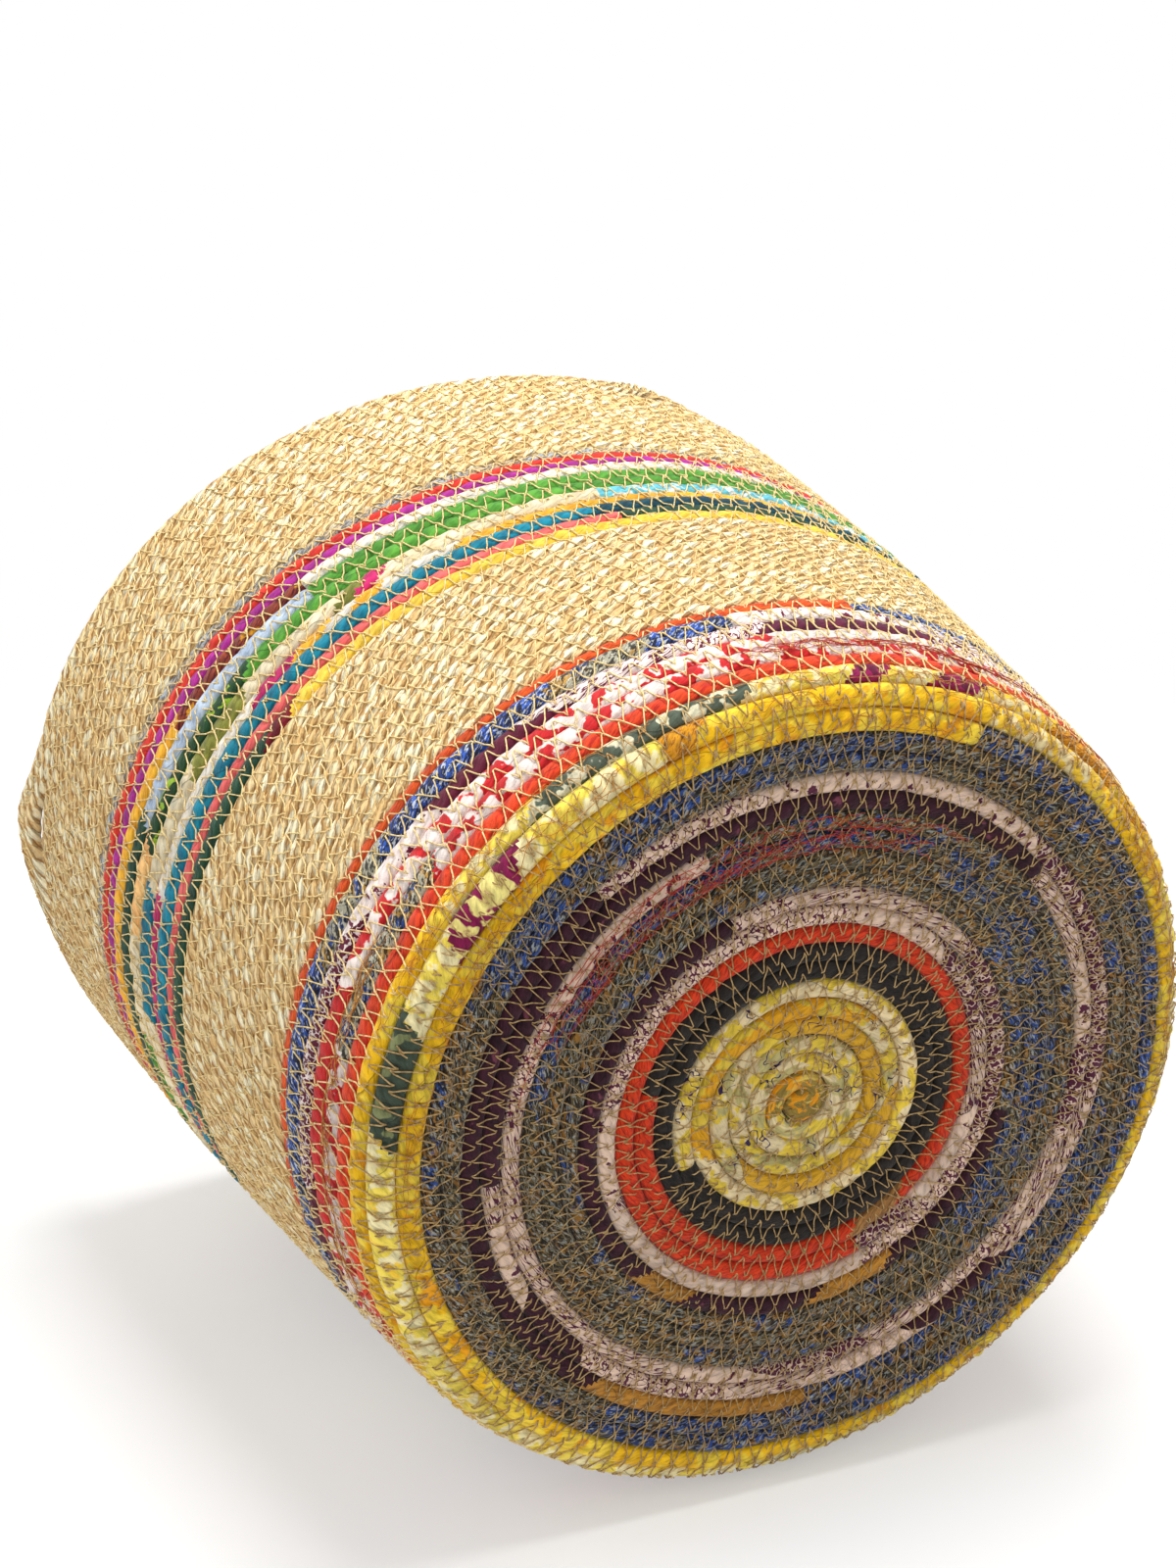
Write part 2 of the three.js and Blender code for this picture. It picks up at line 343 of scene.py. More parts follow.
    def finish(
        self, colour: object, normal: object, rough: float, sheen: float, specular: float = 0.25
    ) -> bpy.types.Material:
        """Ends the material with a Principled shader.

        Args:
            colour: Socket of the base colour.
            normal: Socket of the normal.
            rough: Roughness.
            sheen: Weight of the sheen.
            specular: Level of the plain reflection.

        Returns:
            The finished material.
        """
        shader = self.node("BsdfPrincipled", {"Base Color": colour, "Normal": normal, "Roughness": rough})
        shader.inputs["Sheen Weight"].default_value = sheen
        shader.inputs["Specular IOR Level"].default_value = specular
        output = self.node("OutputMaterial")
        self.tree.links.new(shader.outputs[0], output.inputs[0])
        return self.material


@dataclass(frozen=True)
class ClothFinish:
    """A strip of recycled cotton wound on the cord: its colours, its print and its folds."""

    name: str
    slot: str
    base: Colour
    second: Colour
    third: Colour | None = None
    pattern: Pattern = Pattern.PLAIN
    size: float = 6.0
    share: float = 0.45
    third_share: float = 0.3
    wind: float = 6.0
    fold: Colour | None = None
    fold_share: float = 0.35
    scribble: Colour | None = None
    pale_yarn: Colour = linear(168, 172, 166)
    dark_yarn: Colour = linear(28, 24, 26)

    def make(self) -> bpy.types.Material:
        """Makes the material of the cloth."""
        return ClothGraph(self).build()


class ClothGraph(Graph):
    """The node material of a cloth finish, over coordinates along and round the cord in centimetres."""

    # painted shade: the pair below darkens the cloth's colour towards the bottoms of its creases
    CREASE_SHADE = (0.42, 0.60)  # light that the height of a crease adds, and light at its bottom
    # painted shade: the pair below darkens a thin line at the step where each winding's edge lies
    EDGE_SHADE = (0.6, 0.4)  # the same across the first part of each winding
    TONES = (0.26, 0.84)  # the same for the random tone of each winding
    WIND_DEPTH = 0.7 * MM
    CREASE_DEPTH = 0.9 * MM
    WEAVE_DEPTH = 0.08 * MM
    WEAVE_SCALE = 7.5
    ROUGH = 0.92
    SHEEN = 0.12

    def __init__(self, cloth: ClothFinish) -> None:
        """Starts the material, with a seed from its name that makes each finish fall differently."""
        super().__init__(cloth.name)
        self.cloth = cloth
        self.seed = float(sum(map(ord, cloth.name)) % 97)
        self.cord = self.node("UVMap", uv_map="cord").outputs[0]
        self.place, self.tone = self.wraps()

    def grain(
        self, drawn: float, turn: float, shift: tuple[int, int], scale: float, *fineness: float
    ) -> Socket:
        """Adds a noise over the cord.

        Args:
            drawn: How many times finer it is across its slant than along it.
            turn: Its slant, in degrees.
            shift: Which of the two coordinates the seed shifts, as 0 or 1 each.
            scale: Scale of the noise.
            fineness: Its number of octaves, and how strong the fine ones are.

        Returns:
            The socket of its grey value.
        """
        moved = (self.seed * shift[0], self.seed * shift[1], 0)
        return self.noise(self.mapped(self.cord, (1, drawn, 1), turn, moved), scale, *fineness)

    def above(self, noise: object, share: float, soft: float, spread: float = 0.42) -> Socket:
        """Marks a share of the cloth: the places where a noise is high.

        Args:
            noise: Socket of the noise.
            share: The share to mark, from 0 to 1.
            soft: Half the width of the soft edge, as a step of the noise.
            spread: How widely the noise spreads round its middle value.

        Returns:
            The socket of the mark: 1 above a level that sinks evenly as the share grows.
        """
        level = 0.5 + (0.5 - share) * spread
        return self.steps(noise, level - soft, level + soft)

    def wraps(self) -> tuple[Socket, Socket]:
        """Works out how the strip is wound.

        Returns:
            The place across the strip, from 0 to 1, and a random tone for each winding. The
            phase is the run over the length of a winding, plus the share of the way round the
            cord, bent by slow noise: its fraction is the place, its whole part the winding.
        """
        parts = self.node("SeparateXYZ", {0: self.cord})
        bend = self.grain(1, 0, (1, 0), 0.5, 2)
        run = self.maths("DIVIDE", parts.outputs[0], self.cloth.wind)
        way = self.maths("DIVIDE", parts.outputs[1], GIRTH)
        phase = self.maths("ADD", self.maths("ADD", run, way), self.maths("MULTIPLY", bend, 0.9))
        number = self.maths("ADD", self.maths("FLOOR", phase), self.seed)
        return self.maths("FRACT", phase), self.chance(W=number)

    def tweed(self) -> Socket:
        """Mixes the yarns of a tweed.

        Returns:
            The colour: zones of the colours in slow noise, and over them dark and pale fibres,
            which are noise drawn out along the slanted yarn and cut off high.
        """
        cloth, spread = self.cloth, 0.3
        zone = self.grain(1.4, -20, (1, 0), 1.0, 2, 0.6)
        colour = self.mix(self.above(zone, cloth.share, 0.03, spread), cloth.base, cloth.second)
        if cloth.third is not None:
            other = self.grain(1.4, -20, (0, 1), 1.3, 2, 0.6)
            colour = self.mix(self.above(other, cloth.third_share, 0.02, spread), colour, cloth.third)
        dark = self.grain(2.6, -32, (1, 0), 3.4, 2.5, 0.65)
        colour = self.tint(colour, cloth.dark_yarn, 0.9, dark, 0.46, 0.53)
        pale = self.grain(3.4, -24, (0, 1), 4.2, 2.5, 0.65)
        return self.tint(colour, cloth.pale_yarn, 0.8, pale, 0.53, 0.60)

    def rose(self) -> Socket:
        """Prints cloth of four kinds: long lines, scrolls, a pale net, and plain with a few marks.

        Returns:
            The colour. Lines and scrolls are the places where a noise is near its middle
            value, the noise being drawn out along the cord for the lines and round for the
            scrolls. The net is the scrolls with the colours changed over, and the marks are the
            tops of a third noise. The tone of each winding chooses its kind.
        """
        base, second = self.cloth.base, self.cloth.second
        drawn_out = self.mapped(self.cord, (0.22, 1.5, 1), -14, (self.seed, 0, 0))
        lines = self.steps(self.off_middle(self.noise(drawn_out, 5.0, 2, 0.5)), 0.040, 0.026)
        scrolls = self.steps(self.off_middle(self.grain(0.8, 30, (1, 1), 5.5, 1.4, 0.5)), 0.046, 0.034)
        marks = self.steps(self.grain(0.7, 10, (0, 1), 3.0, 3, 0.6), 0.585, 0.60)
        colour = self.mix(scrolls, second, base)
        for start, mask in ((0.20, lines), (0.56, marks), (0.76, scrolls)):
            kind = self.mix(mask, base, second)
            colour = self.mix(self.steps(self.tone, start, start + 0.01), colour, kind)
        return colour

    def printed(self) -> Socket:
        """Gives the colour of the cloth before folds and shade.

        Returns:
            The colour: the second colour lies on its share of a noise, and the third on its
            share of another. The first noise is round for blobs, drawn out along the slanted
            yarn for streaks, and has very soft edges on plain cloth.
        """
        cloth = self.cloth
        if cloth.pattern is Pattern.TWEED:
            return self.tweed()
        if cloth.pattern is Pattern.ROSE:
            return self.rose()
        if cloth.pattern is Pattern.BLOBS:
            noise, soft = self.grain(1.2, 20, (1, 0), 10 / cloth.size, 2.5), 0.015
        elif cloth.pattern is Pattern.STREAKS:
            noise, soft = self.grain(5.5, -28, (1, 0), 14 / cloth.size, 4, 0.65), 0.06
        else:
            noise, soft = self.grain(2, -35, (1, 0), 8 / cloth.size, 4), 0.2
        colour = self.mix(self.above(noise, cloth.share, soft), cloth.base, cloth.second)
        if cloth.third is not None:
            noise = self.grain(1.6, -25, (0, 1), 9 / cloth.size, 3)
            colour = self.mix(self.above(noise, cloth.third_share, 0.03), colour, cloth.third)
        return colour

    def build(self) -> bpy.types.Material:
        """Makes the material: print, wound strip, creases, woven threads and a soft sheen.

        Returns:
            The material. Each winding of the strip has its own tone and may show the folded
            side's colour; its edge is a step with a dark line of painted shade; creases run
            along it, darkened towards their bottoms as painted shade; and a fine weave lies
            over all. Drawn lines lie where a noise is near its middle value, in the places
            where a slow noise is high.
        """
        cloth = self.cloth
        colour = self.printed()
        if cloth.fold is not None:
            folded = self.steps(self.tone, cloth.fold_share + 0.01, cloth.fold_share - 0.01)
            colour = self.mix(folded, colour, cloth.fold)
        if cloth.scribble is not None:
            line = self.steps(self.off_middle(self.grain(1, 15, (1, 0), 2.4, 1, 0.5)), 0.018, 0.010)
            where = self.steps(self.grain(1, 0, (0, 1), 0.8, 1), 0.52, 0.56)
            colour = self.mix(self.maths("MULTIPLY", line, where), colour, cloth.scribble)
        creases = self.grain(4.5, -24, (1, 1), 1.9, 4, 0.62)
        # painted shade: the colour is darker towards the bottoms of the creases
        shade = self.maths("MULTIPLY_ADD", self.steps(creases, 0.30, 0.60), *self.CREASE_SHADE)
        # painted shade: a dark line along the step at the edge of each winding
        edge = self.maths("MULTIPLY_ADD", self.steps(self.place, 0.0, 0.03), *self.EDGE_SHADE)
        light = self.maths("MULTIPLY_ADD", self.tone, *self.TONES)
        total = self.maths("MULTIPLY", self.maths("MULTIPLY", shade, edge), light)
        colour = self.mix(1.0, colour, total, "MULTIPLY")
        threads = []
        for turn in (45, -45):
            slanted = {"Vector": self.mapped(self.cord, (1, 1, 1), turn), "Scale": self.WEAVE_SCALE}
            threads.append(self.node("TexWave", slanted).outputs["Fac"])
        coarse = self.bump(self.place, self.WIND_DEPTH, 0.5)
        middle = self.bump(creases, self.CREASE_DEPTH, 0.8, coarse)
        fine = self.bump(self.maths("MULTIPLY", *threads), self.WEAVE_DEPTH, 0.5, middle)
        return self.finish(colour, fine, self.ROUGH, self.SHEEN)


@dataclass(frozen=True)
class GrassFinish:
    """Twisted cord of flat plant fibres: pale pointed leaves over darker strands."""

    name: str = "grass_cord"
    slot: str = "grass_cord"
    cream: Colour = linear(255, 244, 206)
    pale: Colour = linear(250, 224, 170)
    straw: Colour = linear(232, 191, 126)
    # brown of the fibres, and also painted shade in the gaps between strands
    brown_fibre_and_gap_shade: Colour = linear(134, 90, 46)
    leaf: float = 0.85
    strand_depth: float = 0.8 * MM
    leaf_depth: float = 0.5 * MM
    fibre_depth: float = 0.2 * MM
    rough: float = 0.8

    def make(self) -> bpy.types.Material:
        """Makes the material of the plain cord.

        Returns:
            The material. The strand coordinate counts the strands, and its other part runs
            along them. Each strand is cut into leaves at random places; a leaf is a sine of
            the place along it wide, has its own tone, and stands over the darker strand, which
            is darkened towards its edges as painted shade in the gaps between strands; and
            noise drawn out along the strands is the fibre.
        """
        graph = Graph(self.name)
        cord = graph.node("UVMap", uv_map="cord").outputs[0]
        parts = graph.node("SeparateXYZ", {0: graph.node("UVMap", uv_map="strand").outputs[0]})
        wobble = graph.noise(cord, 3.2, 2)
        count = graph.maths("ADD", parts.outputs[0], graph.maths("MULTIPLY", wobble, 0.5))
        number = graph.maths("FLOOR", count)
        leaves = graph.maths("DIVIDE", parts.outputs[1], self.leaf)
        along = graph.maths("MULTIPLY_ADD", graph.chance(W=number), 9.0, leaves)
        pair = graph.node("CombineXYZ", {0: number, 1: graph.maths("FLOOR", along)}).outputs[0]
        tone = graph.chance(Vector=pair)
        point = graph.maths("SINE", graph.maths("MULTIPLY", graph.maths("FRACT", along), np.pi))
        width = graph.maths("MULTIPLY", graph.maths("POWER", point, 0.55), 0.54)
        off = graph.off_middle(graph.maths("FRACT", count))
        leaf = graph.steps(off, width, graph.maths("SUBTRACT", width, 0.10))
        crown = graph.steps(off, width, graph.maths("MULTIPLY", width, 0.25))
        fibre = graph.noise(graph.mapped(cord, (1.0, 8.0, 1), -LAY), 4.0, 4, 0.68)
        spots = graph.noise(graph.mapped(cord, (1, 1.8, 1), -LAY), 1.4, 3)
        under = graph.tint(self.straw, self.brown_fibre_and_gap_shade, 0.6, fibre, 0.42, 0.66)
        # painted shade: the strand darkens towards its edges, in the gaps between strands
        under = graph.tint(under, self.brown_fibre_and_gap_shade, 0.85, off, 0.33, 0.48)
        bright = graph.maths("MULTIPLY_ADD", spots, 0.5, graph.maths("MULTIPLY", tone, 0.5))
        top = graph.mix(graph.steps(bright, 0.20, 0.45), self.straw, self.pale)
        top = graph.mix(graph.steps(bright, 0.46, 0.66), top, self.cream)
        top = graph.tint(top, self.brown_fibre_and_gap_shade, 0.35, fibre, 0.54, 0.72)
        colour = graph.mix(leaf, under, top)
        coarse = graph.bump(graph.steps(off, 0.5, 0.1), self.strand_depth, 0.7)
        middle = graph.bump(crown, self.leaf_depth, 0.7, coarse)
        fine = graph.bump(fibre, self.fibre_depth, 0.6, middle)
        return graph.finish(colour, fine, self.rough, 0.0)


@dataclass(frozen=True)
class ThreadFinish:
    """A sewing thread or a loose yarn, straw-coloured unless other colours are given."""

    name: str = "straw_thread"
    slot: str = "grass_cord"
    colour: Colour = linear(250, 229, 168)
    shade: Colour = linear(208, 176, 114)

    def make(self) -> bpy.types.Material:
        """Makes the material: two tones in fine noise, with a little sheen."""
        graph = Graph(self.name)
        place = graph.node("TexCoord").outputs["Object"]
        noise = graph.noise(place, 900, 3)
        tone = graph.noise(place, 60, 2)
        colour = graph.mix(graph.steps(noise, 0.65, 0.35), self.colour, self.shade)
        colour = graph.mix(graph.maths("MULTIPLY", tone, 0.35), colour, self.shade)
        return graph.finish(colour, graph.bump(noise, 0.1 * MM, 0.5), 0.6, 0.05)


def sheet_mesh(
    name: str, points: np.ndarray, faces: np.ndarray, layers: dict[str, np.ndarray] | None = None
) -> bpy.types.Mesh:
    """Puts points and faces of three or four corners into a mesh.

    Args:
        name: Name of the mesh.
        points: The points, one row each.
        faces: Corner numbers, four to a face, the last being -1 in a triangle.
        layers: Coordinates of each corner of each face, by the name of the layer.

    Returns:
        The mesh, smooth, with its faces turned outwards: the sum of each face's corner vectors
        multiplied as a volume is positive then, and the corners are reversed where it isn't.
    """
    first, second, third = points[faces[:, 0]], points[faces[:, 1]], points[faces[:, 2]]
    last = points[np.where(faces[:, 3] < 0, faces[:, 2], faces[:, 3])]
    volume = sum(np.einsum("ij,ij->", first, np.cross(*pair)) for pair in ((second, third), (third, last)))
    order = np.tile(np.arange(4), (len(faces), 1))
    if volume < 0:
        order[:, 1:] = np.where(faces[:, 3:] < 0, [2, 1, 3], [3, 2, 1])
    faces = np.take_along_axis(faces, order, axis=1)
    used = faces >= 0
    corners = faces[used]
    totals = used.sum(axis=1)
    starts = np.concatenate([[0], np.cumsum(totals)[:-1]])
    mesh = bpy.data.meshes.new(name)
    mesh.vertices.add(len(points))
    mesh.vertices.foreach_set("co", points.astype(np.float32).ravel())
    mesh.loops.add(len(corners))
    mesh.loops.foreach_set("vertex_index", corners.astype(np.int32))
    mesh.polygons.add(len(faces))
    mesh.polygons.foreach_set("loop_start", starts.astype(np.int32))
    mesh.polygons.foreach_set("use_smooth", np.ones(len(faces), dtype=bool))
    for layer_name, places in (layers or {}).items():
        turned = np.take_along_axis(places, order[:, :, None], axis=1)
        layer = mesh.uv_layers.new(name=layer_name)
        layer.data.foreach_set("uv", turned[used].astype(np.float32).ravel())
    mesh.update(calc_edges=True)
    mesh.validate()
    return mesh


def joined(parts: list[tuple[np.ndarray, ...]]) -> tuple[np.ndarray, np.ndarray]:
    """Joins meshes into one list of points and one of faces.

    Args:
        parts: The points and the faces of each mesh. What follows them in a part isn't used.

    Returns:
        The points, and the faces with their corner numbers moved up past the points before them.
    """
    starts = np.cumsum([0] + [len(part[0]) for part in parts])
    faces = [np.where(part[1] < 0, -1, part[1] + start) for part, start in zip(parts, starts)]
    return np.concatenate([part[0] for part in parts]), np.concatenate(faces)


def add_piece(mesh: bpy.types.Mesh, materials: list[bpy.types.Material]) -> bpy.types.Object:
    """Adds a mesh to the scene as a piece of the cover.

    Args:
        mesh: The mesh.
        materials: Its materials in order.

    Returns:
        The object, riding on the cover's one body.
    """
    for material in materials:
        mesh.materials.append(material)
    piece = bpy.data.objects.new(mesh.name, mesh)
    bpy.context.scene.collection.objects.link(piece)
    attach(piece, "root")
    log.info("%s: %d faces, %d materials", mesh.name, len(mesh.polygons), len(materials))
    return piece


def index_grid(rows: int, columns: int) -> tuple[np.ndarray, np.ndarray]:
    """Gives the row and the column number of every cell of a grid, row by row."""
    row, column = np.meshgrid(np.arange(rows), np.arange(columns), indexing="ij")
    return row.ravel(), column.ravel()


@dataclass(frozen=True)
class Ripple:
    """A smooth random unevenness of the cord."""

    height: float
    step: float
    seed: int
    slant: float = 0.0
    count: int = 4096

    def at(self, run: np.ndarray, around: float | np.ndarray = 0.0) -> np.ndarray:
        """Gives the unevenness at places on the cord.

        Args:
            run: Lengths along the cord.
            around: Places round it, which shift the pattern by as much times the slant.

        Returns:
            Values up to the height, eased by a cosine between one random value and the next.
        """
        knots = np.random.default_rng(self.seed).uniform(-1, 1, self.count)
        scaled = np.asarray(run + self.slant * around) / self.step
        index = np.floor(scaled).astype(int)
        ease = (1 - np.cos(np.pi * (scaled - index))) / 2
        return self.height * (knots[index % self.count] * (1 - ease) + knots[(index + 1) % self.count] * ease)


@dataclass(frozen=True)
class Strip:
    """One strip of cloth on a stretch of cord, from a turn on to the next strip."""

    start: float
    finish: str


@dataclass(frozen=True)
class Stretch:
    """A stretch of the coil, from one turn to the next stretch, and the strips wound on it."""

    name: str
    start: float
    row: float
    strips: tuple[Strip, ...]


@dataclass
class Winding:
    """The path of the cord: its seams, its widths and its length, as functions of the turn."""

    shape: CoverShape
    stretches: list[Stretch]
    cells: int = 20
    base_row: float = 5.85 * MM
    grass_row: float = 5.5 * MM
    last_turn: float = 62.25
    taper: float = 0.15
    tapered_width: float = 1.5 * MM
    handle_turns: tuple[float, float] = (60.6, 60.95)
    handle_half: float = 0.05
    handle_lift: float = 25 * MM
    handle_lean: float = 0.16
    centre_depth: float = 2.4 * MM
    thick: float = 2.6 * MM
    thick_range: tuple[float, float] = (0.4, 1.15)
    fat_from: float = 7 * MM
    fat_share: float = 0.25
    step_change: float = 20 * MM
    base_edge: float = 115 * MM
    short_step: float = 3.3 * MM
    base_step: float = 5.2 * MM
    wall_step: float = 6.7 * MM
    seams: np.ndarray = field(init=False)
    turns: np.ndarray = field(init=False)
    runs: np.ndarray = field(init=False)

    def __post_init__(self) -> None:
        """Winds the seams row on row, and measures the cord along them."""
        starts = [round(s.start * self.cells) for s in self.stretches]
        rows = [s.row for s in self.stretches]

        def width(cell: int) -> float:
            """Gives the width of the row in a cell, narrowing at the end of the cord."""
            held = [row for start, row in zip(starts, rows) if cell >= start]
            row = held[-1] if held else self.base_row
            cut = min(max((cell / self.cells - self.last_turn) / self.taper + 1, 0), 1)
            return row + (self.tapered_width - row) * cut

        seams = [self.base_row * c / self.cells for c in range(self.cells)]
        for c in range(round(self.last_turn * self.cells) + 1):
            seams.append(seams[c] + (width(c - 1) + width(c)) / 2)
        self.seams = np.array(seams)
        self.turns = np.linspace(0, self.last_turn + 1, 20000)
        radius = np.maximum(self.shape.meridian(self.seam(self.turns))[0], 0.5 * self.base_row)
        self.runs = np.concatenate([[0], np.cumsum(2 * np.pi * radius[1:] * np.diff(self.turns))])

    def seam(self, turn: np.ndarray) -> np.ndarray:
        """Gives the lower edge of the row at a turn, as a length along the meridian."""
        return np.interp(np.asarray(turn) * self.cells, np.arange(len(self.seams)), self.seams)

    def width(self, turn: np.ndarray) -> np.ndarray:
        """Gives the width of the row at a turn."""
        return self.seam(np.asarray(turn) + 1) - self.seam(turn)

    def run(self, turn: np.ndarray) -> np.ndarray:
        """Gives the length of seam wound up to a turn."""
        return np.interp(turn, self.turns, self.runs)

    def turn_of(self, run: np.ndarray) -> np.ndarray:
        """Gives the turn that a length of seam is wound up to."""
        return np.interp(run, self.runs, self.turns)

    def azimuth(self, turn: np.ndarray) -> np.ndarray:
        """Gives the azimuth of a turn, in degrees."""
        return START_AZIMUTH - 360.0 * np.asarray(turn)

    def half_depth(self, turn: np.ndarray) -> np.ndarray:
        """Gives half the thickness of the cord, which is a little more in a wider row."""
        return self.thick * np.clip(self.width(turn) / self.grass_row, *self.thick_range)

    def fat(self, turn: np.ndarray) -> np.ndarray:
        """Gives how much further a very wide row bulges out: a share of its spare width."""
        return np.maximum(self.width(turn) - self.fat_from, 0) * self.fat_share

    def stitch_step(self, turn: np.ndarray) -> np.ndarray:
        """Gives the length of a whole zigzag: short in the centre, longer on base and wall."""
        seam = self.seam(np.floor(turn))
        near = np.clip(seam / self.step_change, 0, 1)
        far = np.clip((seam - self.base_edge) / self.step_change, 0, 1)
        base = self.short_step + (self.base_step - self.short_step) * near
        return base + (self.wall_step - self.base_step) * far

    def lift(self, turn: np.ndarray) -> np.ndarray:
        """Gives how far the row at a turn is lifted off the wall by a handle.

        Args:
            turn: Turns of the row.

        Returns:
            The height of the bell-shaped arches: half of one plus the cosine of the distance
            from the handle's middle, on the two rows that each handle is made of.
        """
        total = np.zeros_like(np.asarray(turn, dtype=float))
        for middle in self.handle_turns:
            for row in (middle, middle + 1):
                share = np.clip((turn - row) / self.handle_half, -1, 1)
                total += self.handle_lift * (1 + np.cos(np.pi * share)) / 2
        return total


@dataclass
class CoiledCord:
    """The coil itself: every stretch of cord, covered with its strips, as its own closed piece."""

    winding: Winding
    finishes: dict[str, ClothFinish | GrassFinish]
    materials: dict[str, bpy.types.Material]
    ring_step: float = 1.25 * MM
    outer_points: int = 9
    inner_points: int = 5
    squareness: float = 0.85
    overlap: float = 0.515
    ply: float = 6.2 * MM
    plies: int = 5
    ridge: float = 0.6 * MM
    pucker: float = 0.55 * MM
    end_overlap: float = 0.5 * MM
    end_sizes: tuple[float, float] = (0.75, 0.95)
    relief_across: float = 0.35
    strip_edge: float = 0.35 * MM
    strip_fade: float = 5 * MM
    strip_slope: float = 0.8
    dimple_length: float = 1.1 * MM
    dimple_width: float = 0.45
    dimple_place: float = 0.22
    bare_dimple: float = 0.4
    lay_ripple: Ripple = Ripple(0.4, 17 * MM, 21)
    edge_ripple: Ripple = Ripple(0.7 * MM, 1.6 * MM, 23, 7)
    path_ripple: Ripple = Ripple(0.22 * MM, 30 * MM, 11)
    ridge_ripple: Ripple = Ripple(0.25, 9 * MM, 5)
    grass_ripple: Ripple = Ripple(0.2 * MM, 2.6 * MM, 8, 3 * MM)
    cloth_ripples: tuple[Ripple, ...] = (
        Ripple(0.34 * MM, 4.5 * MM, 3, -2.6 * MM),
        Ripple(0.22 * MM, 2.4 * MM, 4, 1.2 * MM),
    )

    def angles(self) -> np.ndarray:
        """Spaces the points of a ring closely on its outward half and widely on the other."""
        outer = np.linspace(0, np.pi, self.outer_points)
        inner = np.linspace(np.pi, 2 * np.pi, self.inner_points + 2)[1:-1]
        return np.concatenate([outer, inner])

    def strand(self, run: np.ndarray, angle: np.ndarray) -> np.ndarray:
        """Counts the strands of bare cord at a point.

        Args:
            run: Lengths along the cord.
            angle: Angles round it.

        Returns:
            The angle's share of the plies less the run over their pitch, unevenly laid.
        """
        return self.plies * angle / (2 * np.pi) - run / self.ply + self.lay_ripple.at(run)

    def strip_place(self, run: np.ndarray, angle: np.ndarray) -> np.ndarray:
        """Gives the run at which a slanted strip end through this point crosses the cord's crown."""
        way = (angle / (2 * np.pi) - 0.25) * GIRTH * 10 * MM
        return run - way / self.strip_slope + self.edge_ripple.at(run, way)

    def section(self, stretch: Stretch, turn: np.ndarray, grass: bool) -> tuple[np.ndarray, ...]:
        """Works out the section of the cord at each turn.

        Args:
            stretch: The stretch that the rings belong to.
            turn: The turns of the rings.
            grass: Whether the cord is bare and shows its plies, or is covered in cloth.

        Returns:
            The lengths and depths of the points, ring by ring, then those of the middles of the
            rings. Each ring is a superellipse as wide as its row. Bare cord has ridges that wind
            round it; covered cord has slanted folds, dimples where the thread enters, and a
            step where a strip begins.
        """
        winding = self.winding
        low, high = winding.seam(turn), winding.seam(turn + 1)
        width = (high - low)[:, None]
        angle = self.angles()[None, :]
        run = winding.run(turn)[:, None]
        across = np.sign(np.cos(angle)) * np.abs(np.cos(angle)) ** self.squareness
        outward = np.sign(np.sin(angle)) * np.abs(np.sin(angle)) ** self.squareness
        relief = np.zeros((len(turn), angle.size))
        if grass:
            place = self.strand(run, angle)
            soft = 0.75 + self.ridge_ripple.at(run)
            relief += self.ridge * soft * (np.abs(np.sin(np.pi * place)) - 0.6)
            relief += self.grass_ripple.at(run, angle)
        else:
            for ripple in self.cloth_ripples:
                relief += ripple.at(run, angle)
            for strip in stretch.strips:
                past = self.strip_place(run, angle) - winding.run(strip.start)
                relief += self.strip_edge * np.exp(-np.maximum(past, 0) / self.strip_fade) * (past > 0)
        deep = self.pucker * (1 + np.maximum(width - winding.grass_row, 0) / (3 * MM))
        above = winding.run(turn + 1) / winding.stitch_step(turn + 1)
        below = winding.run(turn) / winding.stitch_step(turn) - 0.5
        for phase, side in ((above, 1), (below, -1)):
            near = np.abs((phase[:, None] + 0.5) % 1 - 0.5) * winding.wall_step
            off = (across + self.dimple_place * side) / self.dimple_width
            spot = np.exp(-((near / self.dimple_length) ** 2)) * np.exp(-(off**2))
            relief -= deep * spot * (outward > 0) * (self.bare_dimple if grass else 1.0)
        lift = winding.lift(turn)[:, None]
        middle = ((low + high) / 2)[:, None] + lift + self.path_ripple.at(run)
        deepest = winding.centre_depth + winding.handle_lean * lift
        length = middle + across * (self.overlap * width + self.relief_across * relief)
        thick = winding.half_depth(turn)[:, None]
        outer = thick * outward * (1 + relief / winding.thick * np.abs(outward))
        bulging = winding.fat(turn)[:, None] * np.maximum(outward, 0)
        return length, deepest - outer - bulging, middle, deepest

